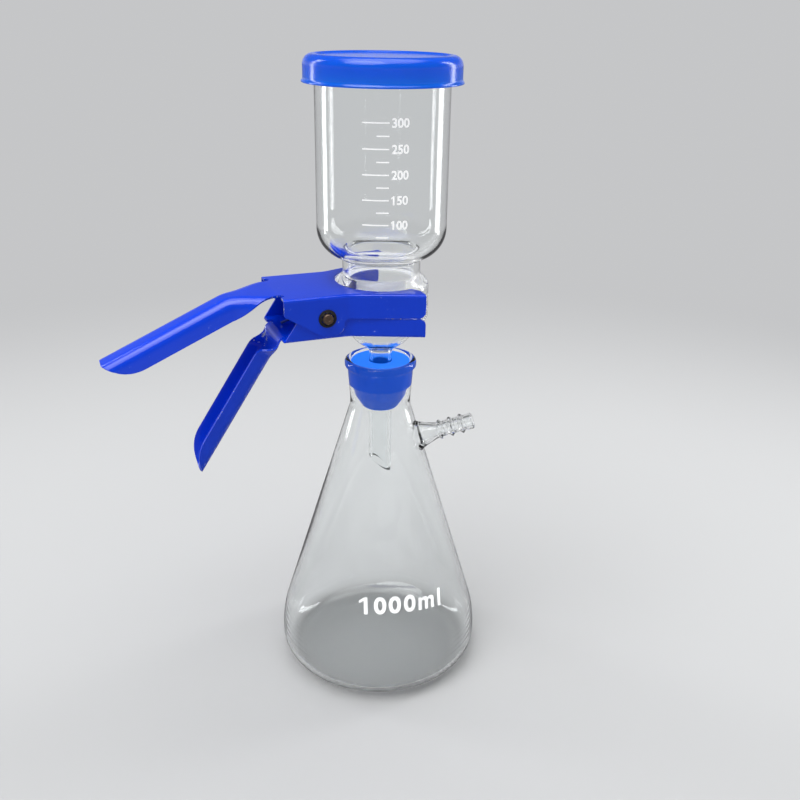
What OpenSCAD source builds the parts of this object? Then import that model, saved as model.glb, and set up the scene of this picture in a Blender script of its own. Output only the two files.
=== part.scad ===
// Glass vacuum filtration unit: a conical flask with a side arm, a stopper, a filter base with a sintered
// disc, a graduated funnel cup with a lid, and the spring clamp that holds the two glass flanges together.
// Millimetres, +Z up. The flask stands on z = 0 on the Z axis; the clamp's handles point along -X.

/* [Flask] */
// Outside diameter of the flask's body
flask_dia = 130; // [108:1:156]
// Height to the top of the flask's rim
flask_height = 210; // [190:1:252]
// Glass thickness of the flask
flask_wall = 2.4; // [1.8:0.1:3]
// Radius of the heel between the foot and the body
heel_r = 16; // [10:0.5:20]
// Height where the upright body begins to lean into the cone
shoulder_z = 28.4; // [26:0.2:40]
// Radius that blends the body into the cone
shoulder_r = 70; // [40:1:80]
// How far the middle of the bottom is pushed up
punt = 2.2; // [0.5:0.1:5]
// Outside diameter of the neck where it leaves the cone
neck_dia = 36.8; // [32:0.2:42]
// Length of the neck, from the cone to the top of the rim
neck_length = 29; // [25:0.5:34]
// Widening of the neck, in degrees each side
neck_taper = 4.35; // [2:0.05:6]
// How far the rolled rim stands out from the neck
rim_bead = 1.7; // [1:0.1:2.5]

/* [Side arm] */
// Outside diameter of the hose tube
arm_dia = 9.5; // [8:0.1:11.4]
// Bore of the hose tube
arm_bore = 6; // [4.5:0.1:6.5]
// Length of the arm from the glass wall
arm_length = 35; // [33:0.5:42]
// Height of the arm below the rim, where it leaves the wall
arm_drop = 51; // [44:0.5:70]
// Upward slope of the arm in degrees
arm_slope = 20; // [5:1:35]
// Direction of the arm round the flask in degrees
arm_azimuth = -26.5; // [-90:0.5:90]
// Diameter of the arm's flared root
arm_root_dia = 17.8; // [15:0.1:20]
// Number of hose ridges
ridges = 3; // [1:1:3]
// Spacing of the hose ridges
ridge_pitch = 6.9; // [5:0.1:7]
// Height of each hose ridge above the tube
ridge_h = 1.2; // [0.5:0.1:1.5]

/* [Stopper] */
// Height of the stopper
stopper_height = 30; // [25:0.5:36]
// How far the stopper's top sits below the flask's rim
stopper_sink = 1.2; // [-2:0.1:4]
// Rounding of the stopper's lower edge
stopper_round = 6.5; // [1:0.5:7]

/* [Glass joint] */
// Diameter of the two ground flanges
flange_dia = 56; // [48:0.5:67.2]
// Height of each flange, from the joint to the corner of its shoulder
flange_height = 10.5; // [9:0.1:12.6]
// Rounding of the flange's shoulder
flange_round = 5; // [4:0.1:6]
// Height of the joint above the flask's rim
joint_rise = 38; // [36:0.5:46]

/* [Filter base] */
// Outside diameter of the stem
stem_dia = 14; // [11.6:0.1:15]
// Bore of the stem
stem_bore = 10; // [8:0.1:10.5]
// Length from the joint to the middle of the drip tip
stem_length = 109; // [95:0.5:120]
// Slant of the drip tip in degrees
tip_slant = 38; // [20:1:45]
// Diameter of the sintered disc
disc_dia = 40; // [36:0.5:42]
// Thickness of the sintered disc
disc_t = 4; // [3:0.1:5]

/* [Funnel cup] */
// Outside diameter of the cup
cup_dia = 75; // [66:0.5:90]
// Height of the cup from the joint to its rim
cup_height = 133.5; // [111:0.5:160]
// Glass thickness of the cup
cup_wall = 2.8; // [2:0.1:3.2]
// Rounding of the cup's bottom, outside
cup_round = 17.5; // [12:0.5:18]
// Outside diameter of the cup's neck
cup_neck_dia = 45.6; // [44:0.2:47]
// Bore of the cup's neck, which sets the filtering area
cup_bore = 39.2; // [34:0.2:40]
// How far the rim stands out from the cup
rim_out = 3.5; // [2:0.1:5]

/* [Lid] */
// Height of the lid's skirt below the cup's rim
lid_skirt = 12; // [8:0.5:14]
// Thickness of the lid's skirt
lid_wall = 2.3; // [1.6:0.1:3]
// Thickness of the lid's raised outer ring
lid_top = 2.6; // [2:0.1:4]
// Depth of the recess in the lid's top
lid_recess = 1; // [0:0.1:1.2]

/* [Clamp] */
// Thickness of the steel sheet
sheet = 1.2; // [1:0.05:1.5]
// Width of the clamp's body over the outer walls
clamp_width = 52; // [44:0.5:56]
// How far the upper plate stands above the corner of its flange
upper_lift = 1.5; // [0.5:0.1:2.5]
// How far the lower plate stands below the corner of its flange
lower_lift = 3; // [1:0.1:3.6]
// Distance from the flange to the pivot pin
pin_reach = 13.4; // [12:0.1:16]
// Distance from the pivot pin to the rear end of the body
body_tail = 24.6; // [22:0.1:28]
// Height of the pivot pin from the glass joint
pin_rise = -0.7; // [-1.5:0.1:1.5]
// How far the fork reaches past the middle of the glass
fork_reach = 12; // [6:0.5:16]
// Width of each arm of the fork at its tip
fork_arm = 13; // [10:0.5:16]
// Depth of the upper jaw's walls beside the glass
fork_wall = 14; // [10:0.5:16]
// Outside radius of the folds
fold_r = 1.8; // [1.2:0.1:2]
// Diameter of the pivot pin
pin_dia = 6; // [5:0.1:7.2]
// Diameter of the retaining ring
ring_dia = 10.4; // [9:0.1:13]

/* [Handles] */
// Width of the upper handle's sheet before it is rolled
upper_width = 38; // [34:0.5:42]
// Radius of the rolled upper handle
upper_roll = 13; // [11:0.1:15]
// Length of the upper handle
upper_length = 106; // [90:1:120]
// Slope of the upper handle in degrees
upper_slope = 24.2; // [18:0.2:28]
// Width of the lower handle's sheet before it is rolled
lower_width = 34; // [28:0.5:36]
// Radius of the rolled lower handle
lower_roll = 11.5; // [10:0.1:13]
// Length of the lower handle
lower_length = 97; // [85:1:110]
// Slope of the lower handle in degrees
lower_slope = 57; // [52:0.5:62]

/* [Spring] */
// Diameter of the spring wire
wire_dia = 1.6; // [1.2:0.1:1.8]
// Number of whole turns in the coil
coil_turns = 6; // [3:1:9]
// Length of the spring's legs behind the pin
leg_reach = 18.5; // [14:0.5:20]

/* [Fits] */
// Gap between pieces that sit on each other
seat = 0.1; // [0.05:0.01:0.2]
// Gap between the pin and the holes that turn on it
running = 0.08; // [0.04:0.01:0.1]
// Gap between the lower jaw and the glass, and round the lid
clearance = 0.3; // [0.2:0.05:0.5]

/* [View] */
// Which piece to show

/* [Hidden] */
$fn = 96;
arc_step = 8;

glass_tint = [0.86, 0.93, 0.95, 0.45];
silicone_blue = [0.05, 0.42, 0.9];
lid_blue = [0.05, 0.25, 0.8];
paint_blue = [0.02, 0.14, 0.78];
frit_white = [0.95, 0.95, 0.93];
bronze = [0.25, 0.2, 0.17];
black_oxide = [0.08, 0.08, 0.09];
spring_steel = [0.6, 0.6, 0.62];

flask_r = flask_dia / 2;
neck_r = neck_dia / 2;
neck_z = flask_height - neck_length;
cone_lean = atan((flask_r - neck_r) / (neck_z - shoulder_z));
foot_in = flask_r - heel_r - 9;
rim_r = neck_out(flask_height - 5) + rim_bead;
arm_z = flask_height - arm_drop;

stopper_top = flask_height - stopper_sink;
joint_z = flask_height + joint_rise;
flange_r = flange_dia / 2;
round_z = flange_height - flange_round * tan(22.5);
neck_step = flange_r - cup_neck_dia / 2;
stem_r = stem_dia / 2;
cup_r = cup_dia / 2;
rim_z = joint_z + cup_height;

upper_out = flange_height + upper_lift;
lower_out = flange_height + lower_lift;
body_half = clamp_width / 2;
bend_x = -flange_r;
pin_x = -(flange_r + pin_reach);
pin_z = joint_z + pin_rise;
pin_r = pin_dia / 2;
rear_x = pin_x - body_tail;
tip_half = fork_hole(upper_out, seat) + fork_arm;
inner_half = body_half - sheet - clearance;
fork_edge = upper_out - fork_wall;
ear_r = upper_out - sheet - 1.9;

// ---- outlines ----

function unit(v) = v / norm(v);
function heading(a) = [cos(a), sin(a)];
function smooth(u) = let (c = max(0, min(1, u))) c * c * (3 - 2 * c);

// The arc of radius r that rounds the corner b between a and c.
function corner_arc(a, b, c, r) =
    let (u = unit(a - b), v = unit(c - b), half = acos(u * v) / 2,
         middle = b + unit(u + v) * r / sin(half),
         first = b + u * r / tan(half) - middle,
         last = b + v * r / tan(half) - middle,
         turn = atan2(cross(first, last), first * last),
         n = max(1, ceil(abs(turn) / arc_step)))
    [for (k = [0 : n]) let (q = turn * k / n)
        middle + [first.x * cos(q) - first.y * sin(q), first.x * sin(q) + first.y * cos(q)]];

// A closed outline through corners [x, y, radius]; a radius of 0 leaves the corner sharp.
function outline(corners) =
    let (n = len(corners), at = [for (p = corners) [p.x, p.y]])
    [for (i = [0 : n - 1])
        each corners[i].z == 0 ? [at[i]]
             : corner_arc(at[(i + n - 1) % n], at[i], at[(i + 1) % n], corners[i].z)];

module lathe(corners) {
    rotate_extrude() polygon(outline(corners));
}

// ---- flask ----

function neck_in(z) = neck_r - flask_wall + (z - neck_z) * tan(neck_taper);
function neck_out(z) = neck_in(z) + flask_wall;
function cone_r(z) = neck_r + (neck_z - z) * tan(cone_lean);

flask_corners = [
    [0, punt, 0],
    [foot_in / 2, punt, 4 * foot_in],
    [foot_in, 0, 10],
    [flask_r, 0, heel_r],
    [flask_r, shoulder_z, shoulder_r],
    [neck_r, neck_z, 20],
    [neck_out(flask_height - 5.7), flask_height - 5.7, 1],
    [rim_r, flask_height - 4.8, 1.6],
    [rim_r, flask_height, 2.2],
    [neck_in(flask_height), flask_height, 1.2],
    [neck_in(neck_z), neck_z - flask_wall * tan(cone_lean / 2), 16],
    [flask_r - flask_wall, shoulder_z - flask_wall * tan(cone_lean / 2), shoulder_r - flask_wall],
    [flask_r - flask_wall, flask_wall, heel_r - flask_wall],
    [foot_in, flask_wall, 10],
    [foot_in / 2, punt + flask_wall, 4 * foot_in],
    [0, punt + flask_wall, 0]];

// Places children on the arm's axis: z = 0 where it leaves the glass, +Z outward.
module on_arm() {
    rotate([0, 0, arm_azimuth]) translate([cone_r(arm_z), 0, arm_z]) rotate([0, 90 - arm_slope, 0]) children();
}

module side_arm() {
    r = arm_dia / 2;
    difference() {
        on_arm() lathe(concat(
            [[0, -4, 0], [arm_root_dia / 2, -4, 0], [arm_root_dia / 2, 0.3, 0], [r, 11.2, 6]],
            [for (k = [0 : ridges - 1], p = [[0, -1.4, 0], [ridge_h, -0.5, 0.5], [ridge_h, 0.5, 0.5], [0, 1.4, 0]])
                [r + p.x, arm_length - 7.3 - (ridges - 1 - k) * ridge_pitch + p.y, p.z]],
            [[r, arm_length, 0.9], [0, arm_length, 0]]));
        rotate_extrude() polygon([
            [0, arm_z - 25], [cone_r(arm_z - 25) - flask_wall / 2, arm_z - 25],
            [cone_r(arm_z + 20) - flask_wall / 2, arm_z + 20], [0, arm_z + 20]]);
    }
}

module flask() {
    color(glass_tint) difference() {
        union() {
            lathe(flask_corners);
            side_arm();
        }
        on_arm() translate([0, 0, -8]) cylinder(h = arm_length + 16, d = arm_bore);
    }
}

// ---- stopper ----

module stopper() {
    bottom = stopper_top - stopper_height;
    color(silicone_blue) lathe([
        [stem_r + seat, bottom, 0.6],
        [neck_in(bottom) - seat, bottom, stopper_round],
        [neck_in(stopper_top) - seat, stopper_top, 1],
        [stem_r + seat, stopper_top, 0.6]]);
}

// ---- filter base and its disc ----

module filter_base() {
    bowl_top = joint_z - flange_height - neck_step;
    bowl_r = cup_neck_dia / 2;
    inside = disc_dia / 2 - 2.5;
    stem_top = bowl_top - 16.2;
    tip_z = joint_z - stem_length;
    color(glass_tint) difference() {
        lathe([
            [stem_bore / 2, tip_z - 10, 0],
            [stem_r, tip_z - 10, 0],
            [stem_r, stem_top, 3],
            [bowl_r - 7, bowl_top - 10, 16],
            [bowl_r, bowl_top, 6],
            [flange_r, joint_z - flange_height, flange_round],
            [flange_r, joint_z, 0.5],
            [disc_dia / 2 + seat, joint_z, 0],
            [disc_dia / 2 + seat, joint_z - disc_t - seat, 0],
            [inside, joint_z - disc_t - seat, 0.6],
            [inside, bowl_top - 1.3, 5],
            [inside - 3.5, bowl_top - 8.2, 13],
            [stem_bore / 2, bowl_top - 14.3, 3]]);
        translate([0, 0, tip_z]) rotate([0, tip_slant, -20])
            translate([0, 0, -20]) cube([60, 60, 40], center = true);
    }
}

module sintered_disc() {
    color(frit_white) translate([0, 0, joint_z - disc_t]) cylinder(h = disc_t, d = disc_dia);
}

// ---- funnel cup and lid ----

module funnel_cup() {
    bore_r = cup_bore / 2;
    neck = cup_neck_dia / 2;
    inner_r = cup_r - cup_wall;
    color(glass_tint) translate([0, 0, joint_z]) lathe([
        [bore_r, 0, 0.4],
        [flange_r, 0, 0.5],
        [flange_r, flange_height, flange_round],
        [neck, flange_height + neck_step, 2],
        [neck, flange_height + neck_step + 9.8, 1],
        [cup_r, flange_height + neck_step + 13.2, cup_round],
        [cup_r, cup_height - 5.5, 3],
        [cup_r + rim_out, cup_height - 3, 1.2],
        [cup_r + rim_out, cup_height, 1.2],
        [inner_r, cup_height, 1.8],
        [inner_r, flange_height + neck_step + 16.3, cup_round - 2.5],
        [bore_r, flange_height + neck_step + 12.8, 2.4]]);
}

module lid() {
    inner = cup_r + rim_out + clearance;
    outer = inner + lid_wall;
    color(lid_blue) translate([0, 0, rim_z + clearance]) lathe([
        [0, lid_top - lid_recess, 0],
        [outer - 7.6, lid_top - lid_recess, 0.4],
        [outer - 6.6, lid_top, 0.4],
        [outer, lid_top, 5.6],
        [outer, 2 - lid_skirt, 2],
        [outer + 0.9, -lid_skirt, 0.4],
        [inner, -lid_skirt, 0.4],
        [inner, 0, 1],
        [0, 0, 0]]);
}

// ---- clamp ----

// Radius of the fork's opening, for a plate whose outer face is this far from the joint and whose edge
// stays the gap away from the flange's rounded shoulder.
function fork_hole(out, gap) =
    flange_r - flange_round + sqrt(pow(flange_round + gap, 2) - pow(out - sheet - round_z, 2));

// Plan of one side of a jaw, moved in by the inset from the outer face of its wall.
function flare(half) = atan((tip_half - half) / (fork_reach - bend_x));
function edge_line(half, inset) = [
    [rear_x, half - inset],
    [bend_x + inset * tan(flare(half) / 2), half - inset],
    [fork_reach, tip_half - inset / cos(flare(half))]];

module jaw_plate(half, hole) {
    difference() {
        polygon(outline([
            [rear_x, -0.01, 0], [rear_x, half, 0], [bend_x, half, 0],
            [fork_reach, tip_half, 0], [fork_reach, hole + 3.5, 6], [fork_reach / 2, hole - 4, 0],
            [0, -0.01, 0]]));
        circle(hole);
    }
}

// The waste outside a fold of radius fold_r along an edge that runs along X at y = 0, z = 0.
module fold_waste(length) {
    rotate([90, 0, 90]) translate([0, 0, -2]) linear_extrude(length + 4) difference() {
        translate([-fold_r, -fold_r]) square(fold_r + 1);
        translate([-fold_r, -fold_r]) circle(fold_r);
    }
}

module both_sides() {
    children();
    mirror([0, 1, 0]) children();
}

// One jaw of folded sheet: a plate, whose outer face is at the height out, above folded-down walls.
// The walls' side outline is in x and height.
module jaw(half, hole, out, side) {
    e = edge_line(half, 0);
    difference() {
        both_sides() {
            translate([0, 0, out - sheet]) linear_extrude(sheet) jaw_plate(half, hole);
            intersection() {
                translate([0, 0, -30]) linear_extrude(60)
                    polygon(concat(e, [for (k = [2 : -1 : 0]) edge_line(half, sheet)[k]]));
                rotate([90, 0, 0]) translate([0, 0, -80]) linear_extrude(80) polygon(outline(side));
            }
        }
        both_sides() {
            translate([e[0].x, e[0].y, out]) fold_waste(e[1].x - e[0].x);
            translate([e[1].x, e[1].y, out]) rotate([0, 0, flare(half)]) fold_waste(norm(e[2] - e[1]));
        }
    }
}

// Point and direction at the length s along a path.
function along(path, s, i = 0) =
    let (leg = path[i + 1] - path[i])
    s <= norm(leg) || i == len(path) - 2
        ? [path[i] + unit(leg) * s, unit(leg)]
        : along(path, s - norm(leg), i + 1);

function reversed_if(flip, f) = flip ? [f[2], f[1], f[0]] : f;

// A strip of sheet that follows a path in x and z and rolls up across its width into a half pipe.
// The crown is on the left of the path for side = 1 and on its right for side = -1.
module rolled_handle(path, length, root_width, width, roll, side) {
    m = 12;
    n = 30;
    tongue = 20;
    function width_at(s) =
        (root_width + (width - root_width) * smooth(s / 24)) *
        sqrt(1 - pow(0.965 * max(0, (s - length + tongue) / tongue), 2));
    function bend_at(s) = smooth((s + 4) / 34) / roll;
    stations = concat([0], [for (i = [0 : n]) 2.4 + (length - 2.4) * (1 - cos(180 * i / n)) / 2]);
    points = [for (i = [0 : len(stations) - 1])
        let (s = stations[i], here = along(path, s), d = here[1], up = side * [-d.y, d.x],
             k = bend_at(s), w = width_at(s), t = i == 0 ? sheet - 0.1 : sheet)
        for (face = [0, 1], j = [0 : m])
            let (a = (j / m - 0.5) * w * k * 180 / PI, depth = face * t + (sheet - t) / 2,
                 out = (1 - cos(a)) / k + depth * cos(a),
                 p = here[0] - up * out)
            [p.x, sin(a) * (1 / k - depth), p.y]];
    function id(i, face, j) = (i * 2 + face) * (m + 1) + j;
    last = len(stations) - 1;
    quads = concat(
        [for (i = [0 : last - 1], j = [0 : m - 1])
            [id(i, 0, j), id(i + 1, 0, j), id(i + 1, 0, j + 1), id(i, 0, j + 1)]],
        [for (i = [0 : last - 1], j = [0 : m - 1])
            [id(i, 1, j + 1), id(i + 1, 1, j + 1), id(i + 1, 1, j), id(i, 1, j)]],
        [for (i = [0 : last - 1]) [id(i, 1, 0), id(i + 1, 1, 0), id(i + 1, 0, 0), id(i, 0, 0)]],
        [for (i = [0 : last - 1]) [id(i, 0, m), id(i + 1, 0, m), id(i + 1, 1, m), id(i, 1, m)]],
        [for (j = [0 : m - 1]) [id(0, 0, j), id(0, 0, j + 1), id(0, 1, j + 1), id(0, 1, j)]],
        [for (j = [0 : m - 1]) [id(last, 1, j), id(last, 1, j + 1), id(last, 0, j + 1), id(last, 0, j)]]);
    polyhedron(points, [for (q = quads, f = [[q[0], q[1], q[2]], [q[0], q[2], q[3]]])
        reversed_if(side > 0, f)]);
}

module pin_hole() {
    translate([pin_x, 0, pin_rise]) rotate([90, 0, 0])
        cylinder(h = 2 * clamp_width, r = pin_r + running, center = true);
}

module clamp_upper_jaw() {
    root = [rear_x + 2, upper_out];
    knee = [rear_x - 27, upper_out - 1.8];
    end = knee + (upper_length - 27) * heading(180 + upper_slope);
    step_x = bend_x - 3.5;
    heel_z = 1.2 - upper_out;
    color(paint_blue) translate([0, 0, joint_z]) difference() {
        union() {
            jaw(body_half, fork_hole(upper_out, seat), upper_out, [
                [rear_x, upper_out, 0], [rear_x, 2.5, 1.5], [pin_x - 3.4, heel_z, 6], [step_x, heel_z, 5],
                [step_x, fork_edge, 3], [fork_reach, fork_edge, 4], [fork_reach, upper_out, 0]]);
            rolled_handle(outline([[root.x, root.y, 0], [knee.x, knee.y, 22], [end.x, end.y, 0]]),
                          upper_length, 30, upper_width, upper_roll, -1);
        }
        pin_hole();
        both_sides() translate([rear_x, 17.6, 0]) cylinder(h = 30, r = 2.4);
    }
}

module clamp_lower_jaw() {
    root = [rear_x + 3.2, -lower_out];
    knee = [rear_x - 0.3, -lower_out];
    heel = knee + [-0.2, -9];
    end = heel + (lower_length - 12) * heading(180 + lower_slope);
    top = -pin_rise - ear_r;
    edge = clearance - fork_edge;
    color(paint_blue) translate([0, 0, joint_z]) difference() {
        union() {
            mirror([0, 0, 1]) jaw(inner_half, fork_hole(lower_out, clearance), lower_out, [
                [rear_x, lower_out, 0], [pin_x - 17, lower_out - 11.4, 4],
                [pin_x - ear_r, top, ear_r * 0.8], [pin_x + ear_r, top, ear_r * 0.8],
                [pin_x + ear_r + 2, edge, 3], [fork_reach, edge, 3.5], [fork_reach, lower_out, 0]]);
            rolled_handle(outline([[root.x, root.y, 0], [knee.x, knee.y, 3.3], [heel.x, heel.y, 14],
                                   [end.x, end.y, 0]]),
                          lower_length, 30, lower_width, lower_roll, 1);
        }
        pin_hole();
    }
}

// ---- pin, ring and spring ----

module pivot_pin() {
    color(bronze) translate([pin_x, 0, pin_z]) rotate([90, 0, 0]) translate([0, 0, -body_half]) lathe([
        [0, -1.8, 0], [pin_r + 1.6, -1.8, 1.6], [pin_r + 1.6, -seat, 0], [pin_r, -seat, 0],
        [pin_r, clamp_width + 2.6, 1.4], [0, clamp_width + 2.6, 0]]);
}

module retaining_ring() {
    color(black_oxide) translate([pin_x, -body_half - seat, pin_z]) rotate([90, 0, 0]) lathe([
        [pin_r + seat, 0.4, 0], [ring_dia / 2 - 0.9, 0, 0], [ring_dia / 2, 0, 0],
        [ring_dia / 2, 0.7, 0.3], [pin_r + seat, 1.4, 0.2]]);
}

module torsion_spring() {
    r = wire_dia / 2;
    coil_r = pin_r + 0.5 + r;
    pitch = wire_dia + 0.25;
    sides = 10;
    // A leg's far end, just clear of its jaw's plate, seen from the pin; sign is 1 for the upper leg.
    function leg_end(sign) =
        [-leg_reach, sign * ((sign > 0 ? upper_out : lower_out) - sheet - r - clearance) - pin_rise];
    function touch(sign) = let (e = leg_end(sign))
        atan2(e.y, e.x) - sign * acos(coil_r / norm(e));
    sweep = 360 * coil_turns + touch(1) - touch(-1);
    half = sweep / 720 * pitch;
    n = ceil(sweep / 20);
    // Stations as [x, y, z, angle of the outward normal].
    stations = concat(
        [[leg_end(1).x, -half, leg_end(1).y, touch(1)]],
        [for (i = [0 : n]) let (a = touch(1) - sweep * i / n)
            [coil_r * cos(a), -half + 2 * half * i / n, coil_r * sin(a), a]],
        [[leg_end(-1).x, half, leg_end(-1).y, touch(-1)]]);
    points = [for (s = stations, j = [0 : sides - 1]) let (b = 360 * j / sides)
        [s.x + r * cos(b) * cos(s[3]), s.y + r * sin(b), s.z + r * cos(b) * sin(s[3])]];
    last = len(stations) - 1;
    function id(i, j) = i * sides + j % sides;
    color(spring_steel) translate([pin_x, 0, pin_z]) polyhedron(points, concat(
        [for (i = [0 : last - 1], j = [0 : sides - 1]) [id(i, j), id(i + 1, j), id(i + 1, j + 1)]],
        [for (i = [0 : last - 1], j = [0 : sides - 1]) [id(i, j), id(i + 1, j + 1), id(i, j + 1)]],
        [[for (j = [0 : sides - 1]) id(0, j)]],
        [[for (j = [sides - 1 : -1 : 0]) id(last, j)]]));
}

flask();
stopper();
filter_base();
sintered_disc();
funnel_cup();
lid();
clamp_upper_jaw();
clamp_lower_jaw();
pivot_pin();
retaining_ring();
torsion_spring();
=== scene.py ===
"""Vacuum filtration unit: glass, silicone, painted steel and printed scales round the packed model.

Every piece is built in millimetres in the model's own frame and becomes a mesh in metres at the origin.
"""

import math

import bmesh
import bpy
from bpy.props import FloatProperty, FloatVectorProperty, IntProperty, PointerProperty
from mathutils import Matrix, Vector


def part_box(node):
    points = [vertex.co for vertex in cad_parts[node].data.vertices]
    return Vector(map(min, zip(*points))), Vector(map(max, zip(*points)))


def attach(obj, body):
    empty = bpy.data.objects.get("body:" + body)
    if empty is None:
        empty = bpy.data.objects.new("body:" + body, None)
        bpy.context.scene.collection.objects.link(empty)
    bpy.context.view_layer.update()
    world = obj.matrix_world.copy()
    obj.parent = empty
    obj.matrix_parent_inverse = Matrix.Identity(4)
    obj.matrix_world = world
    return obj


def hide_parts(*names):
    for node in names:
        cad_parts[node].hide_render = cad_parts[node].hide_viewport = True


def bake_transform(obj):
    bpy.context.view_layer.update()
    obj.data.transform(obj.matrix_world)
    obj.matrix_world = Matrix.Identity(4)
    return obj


bl_info = {
    "name": "Vacuum Filtration Unit",
    "version": (1, 0, 0),
    "blender": (4, 5, 0),
    "location": "View3D > Sidebar > Filtration",
    "description": "Builds a conical flask, stopper, filter base, graduated cup, lid and spring clamp",
    "category": "Object",
}

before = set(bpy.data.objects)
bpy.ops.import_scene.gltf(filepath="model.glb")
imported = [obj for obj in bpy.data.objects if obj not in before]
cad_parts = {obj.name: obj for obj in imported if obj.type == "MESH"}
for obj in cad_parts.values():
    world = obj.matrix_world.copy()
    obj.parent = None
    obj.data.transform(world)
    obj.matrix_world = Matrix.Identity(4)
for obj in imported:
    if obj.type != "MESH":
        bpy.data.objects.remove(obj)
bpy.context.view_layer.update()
MM = 0.001
WHITE = (1.0, 1.0, 1.0)


def extent(node, axis):
    """Lowest and highest place of a packed node along x, y or z (0, 1 or 2), in millimetres."""
    return tuple(round(corner[axis] / MM, 2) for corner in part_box(node))


JOINT_Z, RIM_Z = extent("funnel_cup", 2)
FLASK_R, FLASK_H = extent("flask", 0)[1], extent("flask", 2)[1]
STOPPER_LOW, STOPPER_TOP = extent("stopper", 2)
FLANGE_R, DISC_R = extent("filter_base", 0)[1], extent("sintered_disc", 0)[1]
LIP_R = extent("funnel_cup", 0)[1]
FORK_X = extent("clamp_upper_jaw", 0)[1]
UPPER_PLATE = extent("clamp_upper_jaw", 2)[1] - JOINT_Z
PIN_X, PIN_Z = (round(sum(extent("retaining_ring", axis)) / 2, 2) for axis in (0, 2))
CUP_R, STEM_R = 37.5, 7.0
FRONT = -110.5  # azimuth of the side that carries the scale, in degrees


# ---------------------------------------------------------------- node trees


class Num:
    """A number socket of a node tree. Arithmetic on it adds Math nodes to that tree."""

    def __init__(self, tree, socket):
        self.tree, self.socket = tree, socket

    def maths(self, operation, *values):
        """The result of a Math node on numbers or sockets."""
        node = self.tree.node("ShaderNodeMath", {"operation": operation}, dict(enumerate(values)))
        return Num(self.tree, node.outputs[0])

    def ramp(self, low, high):
        """0 at low, 1 at high, smooth between and level past them; low may be the larger."""
        node = self.tree.node(
            "ShaderNodeMapRange",
            {"interpolation_type": "SMOOTHSTEP"},
            {"Value": self, "From Min": low, "From Max": high},
        )
        return Num(self.tree, node.outputs["Result"])


def arithmetic(operation, swapped):
    """A method that does one operation of the Math node, with its two values in order or swapped."""

    def method(self, other):
        values = (other, self) if swapped else (self, other)
        return self.maths(operation, *values)

    return method


for word, operation in (
    ("add", "ADD"),
    ("sub", "SUBTRACT"),
    ("mul", "MULTIPLY"),
    ("truediv", "DIVIDE"),
    ("pow", "POWER"),
    ("mod", "MODULO"),
):
    setattr(Num, f"__{word}__", arithmetic(operation, False))
    setattr(Num, f"__r{word}__", arithmetic(operation, True))


class Tree:
    """Adds nodes to a node tree, and holds the patterns that several finishes share."""

    def __init__(self, node_tree):
        self.node_tree = node_tree
        node_tree.nodes.clear()

    def node(self, kind, settings=None, sockets=None):
        """One node: its type, its settings, set first, and the values or links of its sockets."""
        node = self.node_tree.nodes.new(kind)
        for name, value in (settings or {}).items():
            setattr(node, name, value)
        for key, value in (sockets or {}).items():
            socket = node.inputs[key]
            if isinstance(value, Num):
                value = value.socket
            if isinstance(value, bpy.types.NodeSocket):
                self.node_tree.links.new(value, socket)
            else:
                socket.default_value = value
        return node

    def number(self, node, output=0):
        """One of a node's outputs, to work with."""
        return Num(self, node.outputs[output])

    def place(self, factors=(1.0, 1.0, 1.0)):
        """Object coordinates, multiplied by a factor along each axis."""
        where = self.node("ShaderNodeTexCoord").outputs["Object"]
        return self.node("ShaderNodeMapping", sockets={"Vector": where, "Scale": factors}).outputs["Vector"]

    def along(self, axis):
        """How far along x, y or z (0, 1 or 2) a point of the object lies, in metres."""
        return self.number(self.node("ShaderNodeSeparateXYZ", sockets={0: self.place()}), axis)

    def noise(self, scale, detail=2.0, rough=0.5, factors=(1.0, 1.0, 1.0)):
        """Soft noise of 0 to 1, finer for a larger scale or factor."""
        sockets = {"Vector": self.place(factors), "Scale": scale, "Detail": detail, "Roughness": rough}
        return self.number(self.node("ShaderNodeTexNoise", sockets=sockets), "Fac")

    def cells(self, scale):
        """Round grains: 0 in the middle of each, rising to its edge."""
        node = self.node("ShaderNodeTexVoronoi", sockets={"Vector": self.place(), "Scale": scale})
        return self.number(node, "Distance")

    def attribute(self, name):
        """A number that the mesh holds for each point."""
        return self.number(self.node("ShaderNodeAttribute", {"attribute_name": name}), "Fac")

    def mix(self, factor, first, second):
        """A colour between first and second, each a colour or a socket."""
        node = self.node("ShaderNodeMix", {"data_type": "RGBA"})
        for index, value in ((0, factor), (6, first), (7, second)):
            if isinstance(value, Num):
                value = value.socket
            if isinstance(value, bpy.types.NodeSocket):
                self.node_tree.links.new(value, node.inputs[index])
            else:
                node.inputs[index].default_value = (*value, 1.0) if isinstance(value, tuple) else value
        return node.outputs[2]

    def bump(self, height, distance):
        """A normal pushed out by a height of 0 to 1, which stands for so many millimetres."""
        sockets = {"Height": height, "Distance": distance * MM}
        return self.node("ShaderNodeBump", sockets=sockets).outputs["Normal"]

    def mirrored(self):
        """1 where a surface is seen by reflection, 0 where it is seen straight or through glass."""
        path = self.node("ShaderNodeLightPath")
        return self.number(path, "Is Glossy Ray") * (1.0 - self.number(path, "Is Transmission Ray"))

    def surface(self, **sockets):
        """A Principled surface and the output; an underscore in a name stands for a space."""
        named = {name.replace("_", " "): value for name, value in sockets.items()}
        for name, value in named.items():
            if isinstance(value, tuple):
                named[name] = (*value, 1.0)[:4]
        shader = self.node("ShaderNodeBsdfPrincipled", sockets=named)
        self.node("ShaderNodeOutputMaterial", sockets={"Surface": shader.outputs[0]})


def finish(name, make):
    """The material of that name, made once; make adds its nodes."""
    material = bpy.data.materials.get(name)
    if material is None:
        material = bpy.data.materials.new(name)
        material.use_nodes = True
        make(Tree(material.node_tree))
    return material


# ---------------------------------------------------------------- finishes


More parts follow.
